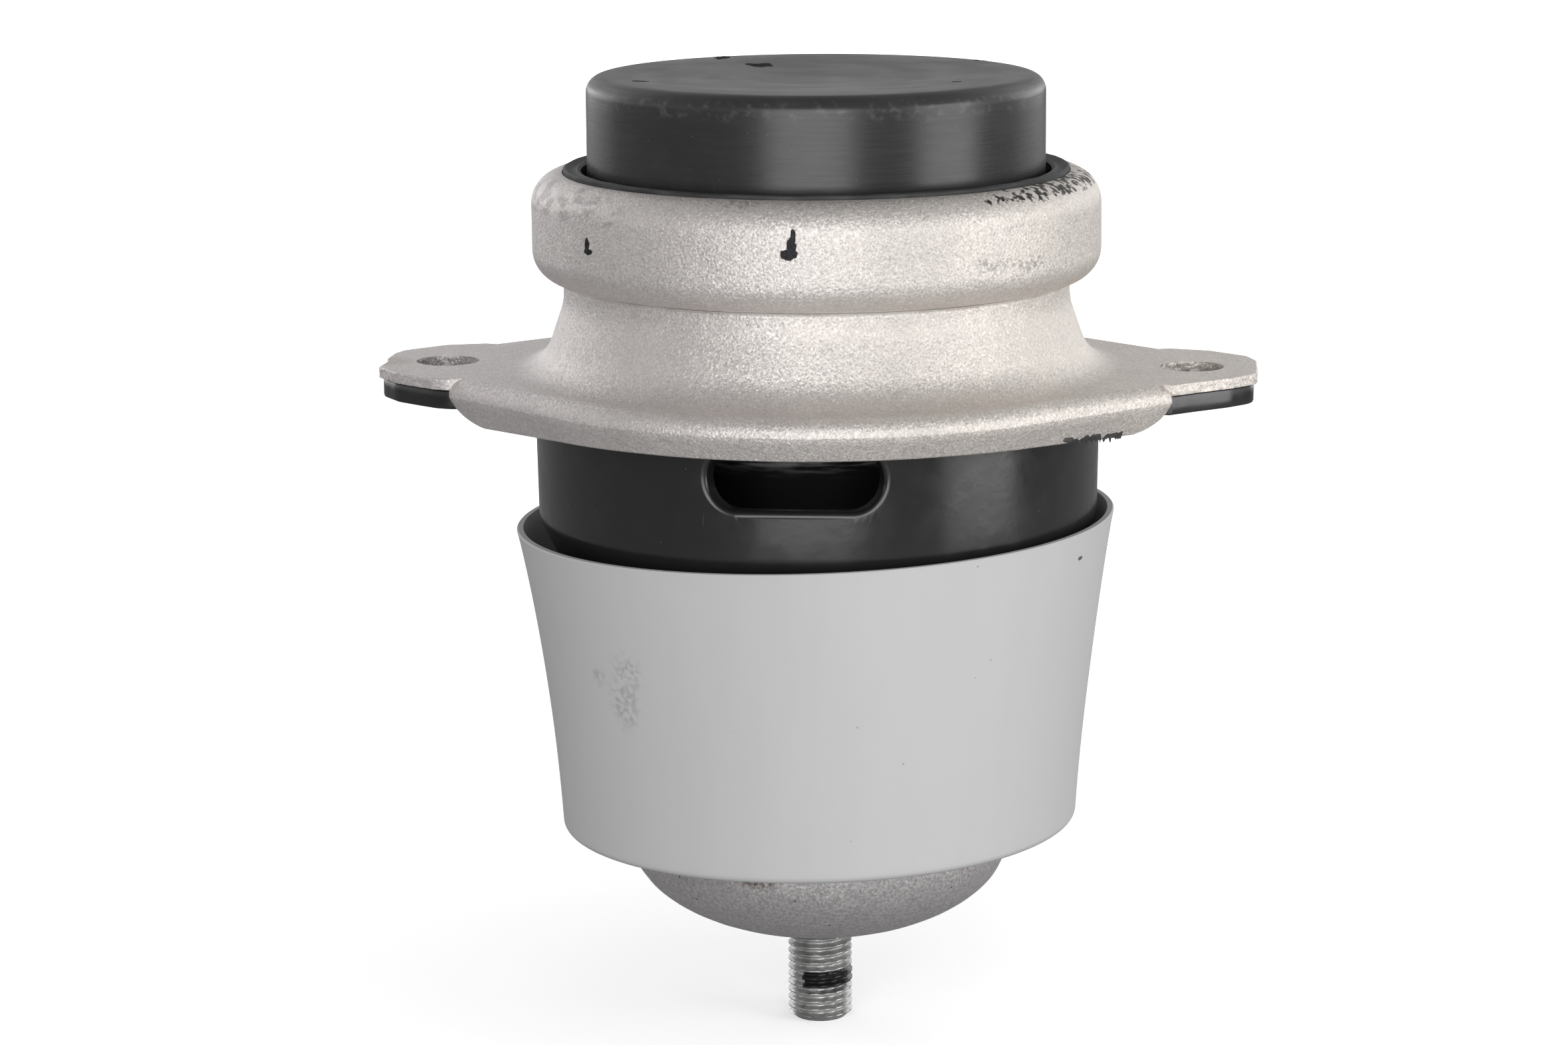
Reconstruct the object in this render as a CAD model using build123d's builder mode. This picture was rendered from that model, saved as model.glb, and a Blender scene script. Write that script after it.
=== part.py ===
"""Hydraulic engine mount with a two-eared flange, a travel limiter can and a heat shield boot.

Millimetres, +Z up. The origin is on the mount's axis, in the plane of the ears' upper faces, so it is
the centre of the two-bolt pattern. The ears point along X. The fluid chamber is above the flange,
and the core with its stud hangs below it. The core moves along Z against the rubber spring.
"""

import os
from math import hypot

from build123d import *

# Clearances
BOND = 0.05  # adhesive film or fit between pieces that are bonded or clamped
SLIP = 0.3  # air around the stud where it passes through a piece
SOFT_STOP = 0.3  # air left before a rubber buffer at the end of the travel

# Housing shell: outer line of the pressed sheet
SHELL_SHEET = 2.0
BULGE_RADIUS = 51.5
BULGE_TOP = 35.6
BULGE_BOTTOM = 16.2
BULGE_ROUND = 5.2
CRIMP_WIDTH = 5.7  # how far the crimped lip reaches in
NECK_STEP = 5.6  # from the bulge's wall in to the neck's
NECK_BREAK = 12.2  # height where the neck starts to flare
NECK_FLARE = 4.2  # growth in radius from there down to the flange
CREASE_ROUND = 0.8
NECK_ROUND = 10.0
FOOT_ROUND = 7.5
FLANGE_JOIN = 6.0  # flat ring between the neck's foot and the flange plate

# Housing shell: flange with its rolled lip
FLANGE_WIDTH = 9.5  # from the neck's foot to the widest outline
SHOULDER_RADIUS = 8.0
SHOULDER_INSET = 1.6  # from the flange's radius to the shoulders' centres along X
SHOULDER_Y = 15.9
LIP_ROUND = 3.1
LIP_BAND = 0.2  # upright band between the roll and the foot
LIP_DEPTH = 7.5
LIP_TURN = 2.3  # how far the lip's foot turns in
LIP_END_RISE = 3.5  # rounded lower corner at each end of the lip
LIP_END_RUN = 4.0
LIP_GAP_HALF = 20.6  # half the gap in the lip at each ear

# Housing shell: ears
EAR_LENGTH = 20.2  # from the flange's radius to the ear's tip
EAR_TIP_BACK = 10.6  # from the bolt hole's centre to the back end of the tip
EAR_TIP_FRONT = 7.4
EAR_BACK_INSET = 8.3  # from the tip to the ear's back corner
EAR_BACK_HALF = 18.4
EAR_FRONT_INSET = 12.6  # from the tip to the ear's front corner
EAR_FRONT_HALF = 19.2
EAR_ROOT_INSET = 2.6  # from the flange's radius to the ear's root
EAR_ROOT_HALF = 22.6
EAR_ROUND = 4.0
BOLT_INSET = 11.8  # from the ear's tip to the bolt hole's centre
BOLT_HOLE = 11.5

# Travel limiter can: outer line of the pressed sheet
CAN_SHEET = 3.4
CAN_PLATE_GAP = 0.2  # between the shell's ears and the can's plate
CAN_PLATE_INSET = 5.1  # from the shell's lip to the edge of the can's plate
CAN_EAR_INSET = 0.6
CAN_INSET = 8.2  # from the flange's radius to the can's wall
CAN_TAPER = 0.4  # loss of radius down to the waist
CAN_WAIST_TOP = -24.0
CAN_WAIST_BOTTOM = -44.0
CAN_FOOT_STEP = 8.4  # from the can's wall in to its foot
CAN_FLOOR_HOLE = 24.0
CAN_PLATE_BEND = 2.5
CAN_WAIST_BEND = 14.0
CAN_FLOOR_BEND = 8.0
SLOT_LENGTH = 32.5
SLOT_HEIGHT = 12.0
SLOT_DROP = 12.2  # from the ears' upper faces to the middle of the slot
SLOT_RIM_ROUND = 1.1

# Top cover: outer line of the pressed cup
COVER_SHEET = 1.5
COVER_STEP = 10.1  # from the bulge's wall in to the cover's
COVER_TOP = 52.8
COVER_DISH = 1.2
COVER_DISH_RADIUS = 8.0
COVER_RIM_WIDTH = 7.4
COVER_ROUND = 3.3
COVER_FOOT_ROUND = 1.0
DISH_ROUND = 40.0

# Stack that the crimp holds, from the bottom up
STACK_SLIP = 0.5  # air between the stack and the shell's wall
STACK_CHAMFER = 1.0
SPRING_RING_SHEET = 1.8
SPRING_RING_LEDGE = 2.2  # from the stack's radius in to the ring's edge
SPRING_RING_FOOT = 3.2
TRACK_LOWER_HEIGHT = 4.0
TRACK_UPPER_HEIGHT = 2.5
BELLOWS_RING_HEIGHT = 1.6
BELLOWS_RING_WIDTH = 7.7
BELLOWS_BEAD_HEIGHT = 1.8

# Lip seal between the cover and the crimp
SEAL_SLIP = 0.1
SEAL_FOOT_WIDTH = 6.3
SEAL_TOP = 36.3
SEAL_RIM_WIDTH = 0.7
SEAL_GROOVE_DEPTH = 0.4

# Orifice plates
TRACK_RADIUS = 35.0  # middle of the track that the fluid runs through
TRACK_WIDTH = 6.0
TRACK_DEPTH = 2.6
TRACK_TURN = 320.0
TRACK_PORT = 5.0
PORT_TURN = 2.0  # degrees from the track's end to the middle of its port
CAGE_RADIUS = 26.5
CAGE_DEPTH = 1.2
CAGE_HOLE = 5.0
CAGE_INNER_RING = 9.5
CAGE_INNER_COUNT = 6
CAGE_OUTER_RING = 19.0
CAGE_OUTER_COUNT = 12
MEMBRANE_SLIP = 0.3
MEMBRANE_RIM = 2.5
MEMBRANE_WEB = 1.2

# Bellows
BELLOWS_SHEET = 1.3
BELLOWS_SLIP = 1.2  # air between the bellows and the cover's wall
BELLOWS_TOP = 44.5
BELLOWS_DIP = 37.5
BELLOWS_DIP_RADIUS = 10.0
BELLOWS_CREST_RADIUS = 24.0
BELLOWS_ROUNDS = (12.0, 8.0, 5.0)  # at the dip, the crest and the outer wall

# Rubber spring
SPRING_TOP_INSET = 1.25  # from the top of its steel ring
SPRING_RING_COVER = 1.2  # steel left bare at the ring's foot
SPRING_CORE_TOP = 2.0  # steel left bare at the top of the inner core
SPRING_CORE_FOOT = 2.0
SPRING_HOLLOW_INSET = 17.4  # from the neck's radius to the middle of the arc that faces the fluid
SPRING_HOLLOW_HEIGHT = 3.5
SPRING_BELLY_INSET = 13.9  # from the neck's radius to the middle of the arc that faces the can
SPRING_BELLY_HEIGHT = -6.0

# Core, from the inner core down to the nose
INNER_CORE_TOP = 6.0
INNER_CORE_TOP_RADIUS = 12.5
INNER_CORE_RADIUS = 24.0
INNER_CORE_BAND = 4.0
INNER_CORE_BOTTOM = -30.0
SPACER_RADIUS = 12.0
STOP_DISC_GAP = 3.6  # from the can's foot in to the disc
STOP_DISC_HEIGHT = 4.0
BUFFER_ROUND = 1.0
REBOUND_BUFFER_HEIGHT = 5.0
REBOUND_BUFFER_WIDTH = 9.0
REBOUND_TRAVEL = 4.0
BUMP_BUFFER_HEIGHT = 6.0
BUMP_BUFFER_WIDTH = 11.0
BUMP_TRAVEL = 10.0
WASHER_MARGIN = 2.0  # from the buffers' outer radius out to the washer's
WASHER_HEIGHT = 2.0
NOSE_TOP = -85.0
NOSE_INSET = 12.5  # from the boot's foot in to the nose
NOSE_BAND = 3.7
NOSE_DEPTH = 17.3
NOSE_FLAT_RADIUS = 8.0

# Heat shield boot
BOOT_WALL = 1.4
BOOT_FLOOR = 2.2
BOOT_RIM = -27.8
BOOT_RIM_GAP = 3.3  # from the can's wall out to the boot's rim
BOOT_WAIST = -56.0
BOOT_WAIST_GAP = 7.2  # from the can's foot out to the boot at the waist
BOOT_FOOT_GAP = 4.4  # the same at the boot's foot
BOOT_FOOT_ROUND = 1.5
BOOT_RIM_ROUND = 0.3

# Stud with its thread-locking patch
STUD_RADIUS = 5.95
STUD_SHANK_RADIUS = 5.5  # plain shank that the thread is rolled on
STUD_TOP = -12.0
THREAD_RUNOUT = 0.26  # from the nose's flat down to the thread
THREAD_LENGTH = 17.8
STUD_CHAMFER = 1.0
BORE_DEPTH_SPARE = 1.0
PATCH_DROP = 7.7  # from the thread's upper end down to the patch
PATCH_HEIGHT = 4.0
PATCH_DEPTH = 0.35

# Radii and places along X worked out from the sizes above
neck_radius = BULGE_RADIUS - NECK_STEP
neck_foot_radius = neck_radius + NECK_FLARE
flange_radius = neck_foot_radius + FLANGE_WIDTH
ear_reach = flange_radius + EAR_LENGTH
bolt_spacing = 2 * (ear_reach - BOLT_INSET)
can_radius = flange_radius - CAN_INSET
can_wall_foot = can_radius - CAN_TAPER
can_foot_radius = can_radius - CAN_FOOT_STEP
boot_rim_radius = can_radius + BOOT_RIM_GAP
boot_waist_radius = can_foot_radius + BOOT_WAIST_GAP
boot_foot_radius = can_foot_radius + BOOT_FOOT_GAP
cover_radius = BULGE_RADIUS - COVER_STEP
stop_disc_radius = can_foot_radius - CAN_SHEET - STOP_DISC_GAP
washer_radius = stop_disc_radius + WASHER_MARGIN
nose_radius = boot_foot_radius - NOSE_INSET
stack_radius = BULGE_RADIUS - SHELL_SHEET - STACK_SLIP
crimp_radius = BULGE_RADIUS - CRIMP_WIDTH
passage_radius = STUD_RADIUS + SLIP
bellows_radius = cover_radius - COVER_SHEET - BELLOWS_SLIP
membrane_radius = CAGE_RADIUS - MEMBRANE_SLIP
patch_seat = STUD_RADIUS - PATCH_DEPTH

# Heights worked out from the sizes above, from the crimped stack down to the nose
crimp_underside = BULGE_TOP - SHELL_SHEET
stack_seat = BULGE_BOTTOM + SHELL_SHEET + BOND
track_lower_bottom = stack_seat + SPRING_RING_SHEET
track_lower_top = track_lower_bottom + TRACK_LOWER_HEIGHT
track_upper_top = track_lower_top + TRACK_UPPER_HEIGHT
bellows_ring_top = track_upper_top + BELLOWS_RING_HEIGHT
bead_top = bellows_ring_top + BELLOWS_BEAD_HEIGHT
cover_foot = bead_top + COVER_SHEET
can_plate_top = -SHELL_SHEET - CAN_PLATE_GAP
can_plate_bottom = can_plate_top - CAN_SHEET
boot_floor_top = NOSE_TOP + BOOT_FLOOR
washer_top = boot_floor_top + WASHER_HEIGHT
bump_buffer_top = washer_top + BUMP_BUFFER_HEIGHT
can_bottom = bump_buffer_top + BUMP_TRAVEL + SOFT_STOP
can_floor_top = can_bottom + CAN_SHEET
rebound_buffer_bottom = can_floor_top + REBOUND_TRAVEL + SOFT_STOP
stop_disc_bottom = rebound_buffer_bottom + REBOUND_BUFFER_HEIGHT
stop_disc_top = stop_disc_bottom + STOP_DISC_HEIGHT
nose_crown = NOSE_TOP - NOSE_BAND
nose_flat = nose_crown - NOSE_DEPTH * (1 - (NOSE_FLAT_RADIUS / nose_radius) ** 2) ** 0.5
thread_top = nose_flat - THREAD_RUNOUT
stud_end = thread_top - THREAD_LENGTH
patch_top = thread_top - PATCH_DROP
patch_bottom = patch_top - PATCH_HEIGHT


def line_beside(points, distance):
    """Corner points of the line that runs at a distance on the right of another line."""
    corners = [Vector(*point) for point in points]
    runs = [(end - start).normalized() for start, end in zip(corners, corners[1:])]
    sides = [Vector(run.Y, -run.X) for run in runs]
    beside = [corners[0] + sides[0] * distance]
    for corner, before, after in zip(corners[1:-1], sides, sides[1:]):
        beside.append(corner + (before + after) * (distance / (1 + before.dot(after))))
    beside.append(corners[-1] + sides[-1] * distance)
    return [(point.X, point.Y) for point in beside]


def rounds_beside(points, rounds, distance):
    """Corner radii of that line: smaller where it turns right, larger where it turns left."""
    corners = [Vector(*point) for point in points]
    runs = [end - start for start, end in zip(corners, corners[1:])]
    beside = []
    for before, after, radius in zip(runs, runs[1:], rounds):
        turns_right = before.cross(after).Z < 0
        beside.append(radius - distance if turns_right else radius + distance)
    return beside


def draw_sheet(points, rounds, sheet):
    """Section of bent sheet: the given line, the line one sheet to its right, and both ends."""
    face = FilletPolyline(*points, radius=rounds)
    back = FilletPolyline(*line_beside(points, sheet), radius=rounds_beside(points, rounds, sheet))
    Line(face @ 0, back @ 0)
    Line(face @ 1, back @ 1)


def point_at_height(start, end, height):
    """Point of a straight run at a given height."""
    share = (height - start[1]) / (end[1] - start[1])
    return (start[0] + share * (end[0] - start[0]), height)


def draw_flange_outline(inset):
    """Plan of the flange, drawn inside its widest outline: a round drawn out to two shoulders."""
    Circle(flange_radius - inset)
    with GridLocations(2 * (flange_radius - SHOULDER_INSET), 2 * SHOULDER_Y, 2, 2):
        Circle(SHOULDER_RADIUS - inset)
    make_hull()


def make_flange_block(inset):
    """Solid block inside the flange's skin: flat top, rolled edge, and the foot turned in."""
    roll_bottom = -LIP_ROUND - LIP_BAND
    with BuildPart() as block:
        with BuildSketch(Plane.XY.offset(roll_bottom)):
            draw_flange_outline(inset)
        extrude(amount=-inset - roll_bottom)
        fillet(block.faces().sort_by(Axis.Z)[-1].edges(), LIP_ROUND - inset)
        with BuildSketch(Plane.XY.offset(roll_bottom)):
            draw_flange_outline(inset)
        with BuildSketch(Plane.XY.offset(-LIP_DEPTH)):
            draw_flange_outline(inset + LIP_TURN)
        loft(ruled=True)
    return block.part


def make_ears(root, inset, sheet):
    """Both flat ears, one sheet thick below z = 0, with the given half width at their roots."""
    root_x = flange_radius - EAR_ROOT_INSET
    tip_x = ear_reach - inset
    outline = [
        (root_x, root),
        (tip_x - EAR_BACK_INSET, EAR_BACK_HALF - inset),
        (tip_x, EAR_TIP_BACK - inset / 2),
        (tip_x, -EAR_TIP_FRONT + inset / 2),
        (tip_x - EAR_FRONT_INSET, -EAR_FRONT_HALF + inset),
        (root_x, -root),
    ]
    with BuildPart() as ears:
        with BuildSketch():
            with BuildLine():
                Polyline(*outline, close=True)
            make_face()
            mirror(about=Plane.YZ)
        extrude(amount=-sheet)
        upright = ears.edges().filter_by(Axis.Z)
        fillet(upright.filter_by(lambda edge: abs(edge.center().X) > root_x + 1), EAR_ROUND)
    return ears.part


def draw_bolt_holes():
    """Plan of the two bolt holes."""
    with GridLocations(bolt_spacing, 0, 2, 1):
        Circle(BOLT_HOLE / 2)


def on_slot_rim(edge):
    """True for the edges of the can's slots that lie on its outer face."""
    box = edge.bounding_box()
    within = max(-box.min.X, box.max.X) < SLOT_LENGTH / 2 + BOND
    below_plate = box.max.Z < can_plate_bottom - BOND
    above_foot = box.min.Z > -SLOT_DROP - SLOT_HEIGHT / 2 - BOND
    points = [edge @ share for share in (0, 0.5, 1)]
    outside = all(hypot(point.X, point.Y) > can_wall_foot for point in points)
    return within and below_plate and above_foot and outside and box.size.X > BOND


def draw_ring_section(inner, outer, bottom, top, mode=Mode.ADD):
    """Rectangle between two radii and two heights."""
    with Locations(((inner + outer) / 2, (bottom + top) / 2)):
        Rectangle(outer - inner, top - bottom, mode=mode)


def make_ring(inner, outer, bottom, top):
    """Plain turned ring or sleeve."""
    with BuildPart() as ring:
        with BuildSketch(Plane.XZ):
            draw_ring_section(inner, outer, bottom, top)
        revolve(axis=Axis.Z)
    return ring.part


def draw_cage_holes():
    """Plan of the holes over the membrane: one in the middle and two rings round it."""
    Circle(CAGE_HOLE / 2)
    with PolarLocations(CAGE_INNER_RING, CAGE_INNER_COUNT):
        Circle(CAGE_HOLE / 2)
    with PolarLocations(CAGE_OUTER_RING, CAGE_OUTER_COUNT):
        Circle(CAGE_HOLE / 2)


def save(built, name):
    """Label one finished piece and write it to its own file."""
    built.part.label = name
    export_step(built.part, "parts/" + name + ".step")
    print(name, "volume", round(built.part.volume))


os.makedirs("parts", exist_ok=True)

# Housing shell: crimped bulge and neck in one revolve, flange with rolled lip, two flat ears
shell_line = [
    (crimp_radius, BULGE_TOP),
    (BULGE_RADIUS, BULGE_TOP),
    (BULGE_RADIUS, BULGE_BOTTOM),
    (neck_radius, BULGE_BOTTOM),
    (neck_radius, NECK_BREAK),
    (neck_foot_radius, 0),
    (neck_foot_radius + FLANGE_JOIN, 0),
]
shell_rounds = [BULGE_ROUND, BULGE_ROUND, CREASE_ROUND, NECK_ROUND, FOOT_ROUND]
flange_outside = make_flange_block(0)
flange_inside = make_flange_block(SHELL_SHEET)
shell_ears = make_ears(EAR_ROOT_HALF, 0, SHELL_SHEET)

with BuildPart() as housing_shell:
    add(flange_outside)
    add(flange_inside, mode=Mode.SUBTRACT)
    # Gap in the lip at each ear, with the lip's lower corners rounded
    with BuildSketch(Plane.YZ):
        draw_ring_section(-LIP_GAP_HALF, LIP_GAP_HALF, -LIP_DEPTH - 1, -SHELL_SHEET)
        corner_half = LIP_GAP_HALF + LIP_END_RUN
        draw_ring_section(-corner_half, corner_half, -LIP_DEPTH - 1, LIP_END_RISE - LIP_DEPTH)
        with GridLocations(2 * corner_half, 0, 2, 1):
            with Locations((0, LIP_END_RISE - LIP_DEPTH)):
                Ellipse(LIP_END_RUN, LIP_END_RISE, mode=Mode.SUBTRACT)
    extrude(amount=ear_reach, both=True, mode=Mode.SUBTRACT)
    with BuildSketch():
        Circle(neck_foot_radius + FLANGE_JOIN - BOND)
    extrude(amount=-SHELL_SHEET, mode=Mode.SUBTRACT)
    add(shell_ears)
    with BuildSketch():
        draw_bolt_holes()
    extrude(amount=-SHELL_SHEET, mode=Mode.SUBTRACT)
    with BuildSketch(Plane.XZ):
        with BuildLine():
            draw_sheet(shell_line, shell_rounds, SHELL_SHEET)
        make_face()
    revolve(axis=Axis.Z)
save(housing_shell, "housing_shell")

# Travel limiter can: plate under the flange, tapered wall with two slots, waist and open floor
can_line = [
    (flange_radius - CAN_PLATE_INSET, can_plate_bottom),
    (can_radius, can_plate_bottom),
    (can_wall_foot, CAN_WAIST_TOP),
    (can_foot_radius, CAN_WAIST_BOTTOM),
    (can_foot_radius, can_bottom),
    (CAN_FLOOR_HOLE, can_bottom),
]
can_rounds = [CAN_PLATE_BEND, CAN_WAIST_BEND, CAN_WAIST_BEND, CAN_FLOOR_BEND]
can_ears = make_ears(LIP_GAP_HALF - CAN_EAR_INSET, CAN_EAR_INSET, CAN_SHEET)

with BuildPart() as travel_limiter_can:
    with BuildSketch(Plane.XY.offset(can_plate_top)):
        draw_flange_outline(CAN_PLATE_INSET)
    extrude(amount=-CAN_SHEET)
    add(Pos(0, 0, can_plate_top) * can_ears)
    with BuildSketch(Plane.XY.offset(can_plate_top)):
        draw_bolt_holes()
        Circle(flange_radius - CAN_PLATE_INSET - BOND)
    extrude(amount=-CAN_SHEET, mode=Mode.SUBTRACT)
    with BuildSketch(Plane.XZ):
        with BuildLine():
            draw_sheet(can_line, can_rounds, CAN_SHEET)
        make_face()
    revolve(axis=Axis.Z)
    with BuildSketch(Plane.XZ):
        with Locations((0, -SLOT_DROP)):
            SlotOverall(SLOT_LENGTH, SLOT_HEIGHT)
    extrude(amount=flange_radius, both=True, mode=Mode.SUBTRACT)
    fillet(travel_limiter_can.edges().filter_by(on_slot_rim), SLOT_RIM_ROUND)
save(travel_limiter_can, "travel_limiter_can")

# Top cover: shallow dished cup with a foot that the crimp clamps
with BuildPart() as top_cover:
    with BuildSketch(Plane.XZ):
        with BuildLine():
            draw_sheet(
                [
                    (0, COVER_TOP - COVER_DISH),
                    (COVER_DISH_RADIUS, COVER_TOP - COVER_DISH),
                    (cover_radius - COVER_RIM_WIDTH, COVER_TOP),
                    (cover_radius, COVER_TOP),
                    (cover_radius, cover_foot),
                    (stack_radius, cover_foot),
                ],
                [DISH_ROUND, DISH_ROUND, COVER_ROUND, COVER_FOOT_ROUND],
                COVER_SHEET,
            )
        make_face()
    revolve(axis=Axis.Z)
save(top_cover, "top_cover")

# Lip seal: foot under the crimp, rim standing up inside it, shallow groove beside the cover
seal_inner = cover_radius + COVER_FOOT_ROUND + SEAL_SLIP
seal_outer = crimp_radius - SEAL_SLIP
seal_foot = seal_inner + SEAL_FOOT_WIDTH
seal_bottom = cover_foot + BOND
seal_step = crimp_underside - SEAL_SLIP
with BuildPart() as cover_lip_seal:
    with BuildSketch(Plane.XZ):
        with BuildLine():
            Polyline(
                (seal_inner, seal_bottom),
                (seal_foot, seal_bottom),
                (seal_foot - SEAL_RIM_WIDTH, (seal_bottom + seal_step) / 2),
                (seal_outer + SEAL_RIM_WIDTH, seal_step),
                (seal_outer, seal_step),
                (seal_outer, SEAL_TOP),
                (seal_outer - SEAL_RIM_WIDTH, SEAL_TOP),
                (seal_outer - 2 * SEAL_RIM_WIDTH, SEAL_TOP - SEAL_GROOVE_DEPTH),
                (seal_inner + SEAL_RIM_WIDTH, SEAL_TOP - SEAL_GROOVE_DEPTH),
                (seal_inner, SEAL_TOP - 2 * SEAL_GROOVE_DEPTH),
                close=True,
            )
        make_face()
    revolve(axis=Axis.Z)
save(cover_lip_seal, "cover_lip_seal")

# Bellows: rubber diaphragm over the upper fluid chamber, with a bead under the cover's foot
with BuildPart() as bellows:
    with BuildSketch(Plane.XZ):
        with BuildLine():
            draw_sheet(
                [
                    (0, BELLOWS_DIP),
                    (BELLOWS_DIP_RADIUS, BELLOWS_DIP),
                    (BELLOWS_CREST_RADIUS, BELLOWS_TOP),
                    (bellows_radius, BELLOWS_TOP),
                    (bellows_radius, bellows_ring_top),
                ],
                BELLOWS_ROUNDS,
                BELLOWS_SHEET,
            )
        make_face()
        draw_ring_section(bellows_radius - BELLOWS_SHEET, stack_radius, bellows_ring_top, bead_top)
    revolve(axis=Axis.Z)
save(bellows, "bellows")

# Steel ring that the bellows' bead is bonded to
with BuildPart() as bellows_ring:
    add(make_ring(stack_radius - BELLOWS_RING_WIDTH, stack_radius, track_upper_top, bellows_ring_top))
save(bellows_ring, "bellows_ring")

# Lower orifice plate: track groove with its port, cage holes, and half of the membrane's seat
with BuildPart() as track_plate_lower:
    with BuildSketch(Plane.XY.offset(track_lower_bottom)):
        Circle(stack_radius)
    extrude(amount=TRACK_LOWER_HEIGHT)
    chamfer(track_plate_lower.faces().sort_by(Axis.Z)[0].edges(), STACK_CHAMFER)
    with BuildSketch(Plane.XY.offset(track_lower_top)):
        with BuildLine():
            CenterArc((0, 0), TRACK_RADIUS, 0, TRACK_TURN)
        trace(line_width=TRACK_WIDTH)
    extrude(amount=-TRACK_DEPTH, mode=Mode.SUBTRACT)
    with BuildSketch(Plane.XY.offset(track_lower_top)):
        Circle(CAGE_RADIUS)
    extrude(amount=-CAGE_DEPTH, mode=Mode.SUBTRACT)
    with BuildSketch(Plane.XY.offset(track_lower_top)):
        draw_cage_holes()
        with PolarLocations(TRACK_RADIUS, 1, start_angle=TRACK_TURN - PORT_TURN):
            Circle(TRACK_PORT / 2)
    extrude(amount=-TRACK_LOWER_HEIGHT, mode=Mode.SUBTRACT)
save(track_plate_lower, "track_plate_lower")

# Upper orifice plate: closes the track, with the port at its other end
with BuildPart() as track_plate_upper:
    with BuildSketch(Plane.XY.offset(track_lower_top)):
        Circle(stack_radius)
    extrude(amount=TRACK_UPPER_HEIGHT)
    with BuildSketch(Plane.XY.offset(track_lower_top)):
        Circle(CAGE_RADIUS)
    extrude(amount=CAGE_DEPTH, mode=Mode.SUBTRACT)
    with BuildSketch(Plane.XY.offset(track_lower_top)):
        draw_cage_holes()
        with PolarLocations(TRACK_RADIUS, 1, start_angle=PORT_TURN):
            Circle(TRACK_PORT / 2)
    extrude(amount=TRACK_UPPER_HEIGHT, mode=Mode.SUBTRACT)
save(track_plate_upper, "track_plate_upper")

# Membrane: thin rubber disc whose thick rim is clamped between the plates
rim_half = CAGE_DEPTH - BOND
with BuildPart() as decoupler_membrane:
    with BuildSketch(Plane.XY.offset(track_lower_top - rim_half)):
        Circle(membrane_radius)
    extrude(amount=2 * rim_half)
    with BuildSketch(Plane.XY.offset(track_lower_top - rim_half)):
        Circle(membrane_radius - MEMBRANE_RIM)
    extrude(amount=rim_half - MEMBRANE_WEB / 2, mode=Mode.SUBTRACT)
    with BuildSketch(Plane.XY.offset(track_lower_top + rim_half)):
        Circle(membrane_radius - MEMBRANE_RIM)
    extrude(amount=MEMBRANE_WEB / 2 - rim_half, mode=Mode.SUBTRACT)
save(decoupler_membrane, "decoupler_membrane")

# Steel ring that the rubber spring is bonded into: it follows the inside of the shell's neck
ring_seat = line_beside(shell_line, SHELL_SHEET + BOND)
ring_rounds = rounds_beside(shell_line, shell_rounds, SHELL_SHEET + BOND)
ring_line = [
    (stack_radius - SPRING_RING_LEDGE, stack_seat),
    ring_seat[3],
    ring_seat[4],
    point_at_height(ring_seat[4], ring_seat[5], SPRING_RING_FOOT),
]
with BuildPart() as spring_outer_ring:
    with BuildSketch(Plane.XZ):
        with BuildLine():
            draw_sheet(ring_line, ring_rounds[2:4], SPRING_RING_SHEET)
        make_face()
    revolve(axis=Axis.Z)
save(spring_outer_ring, "spring_outer_ring")

# Inner core: cone that the rubber is bonded to, with a blind bore for the stud
cone_foot = INNER_CORE_BOTTOM + INNER_CORE_BAND
cone_line = [(INNER_CORE_TOP_RADIUS, INNER_CORE_TOP), (INNER_CORE_RADIUS, cone_foot)]
bore_top = STUD_TOP + BORE_DEPTH_SPARE
with BuildPart() as spring_inner_core:
    with BuildSketch(Plane.XZ):
        with BuildLine():
            Polyline(
                (0, INNER_CORE_TOP),
                *cone_line,
                (INNER_CORE_RADIUS, INNER_CORE_BOTTOM),
                (STUD_RADIUS + BOND, INNER_CORE_BOTTOM),
                (STUD_RADIUS + BOND, bore_top),
                (0, bore_top),
                close=True,
            )
        make_face()
    revolve(axis=Axis.Z)
save(spring_inner_core, "spring_inner_core")

# Rubber spring: thick ring between the steel ring and the inner core, hollow towards the fluid
ring_face = line_beside(ring_line, SPRING_RING_SHEET + BOND)
core_face = line_beside([cone_line[1], cone_line[0]], BOND)
spring_top = (ring_face[1][0], stack_seat + SPRING_RING_SHEET - SPRING_TOP_INSET - BOND)
spring_foot = point_at_height(ring_face[2], ring_face[3], SPRING_RING_FOOT + SPRING_RING_COVER)
core_low = point_at_height(*core_face, cone_foot + SPRING_CORE_FOOT)
core_high = point_at_height(*core_face, INNER_CORE_TOP - SPRING_CORE_TOP)
spring_belly = (neck_radius - SPRING_BELLY_INSET, SPRING_BELLY_HEIGHT)
spring_hollow = (neck_radius - SPRING_HOLLOW_INSET, SPRING_HOLLOW_HEIGHT)
with BuildPart() as main_rubber_spring:
    with BuildSketch(Plane.XZ):
        with BuildLine():
            Polyline(spring_top, ring_face[2], spring_foot)
            ThreePointArc(spring_foot, spring_belly, core_low)
            Line(core_low, core_high)
            ThreePointArc(core_high, spring_hollow, spring_top)
        make_face()
    revolve(axis=Axis.Z)
save(main_rubber_spring, "main_rubber_spring")

# Spacer sleeves and stop disc, clamped on the stud
with BuildPart() as upper_spacer:
    add(make_ring(passage_radius, SPACER_RADIUS, stop_disc_top, INNER_CORE_BOTTOM))
save(upper_spacer, "upper_spacer")

with BuildPart() as rebound_stop_disc:
    add(make_ring(passage_radius, stop_disc_radius, stop_disc_bottom, stop_disc_top))
save(rebound_stop_disc, "rebound_stop_disc")

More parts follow.
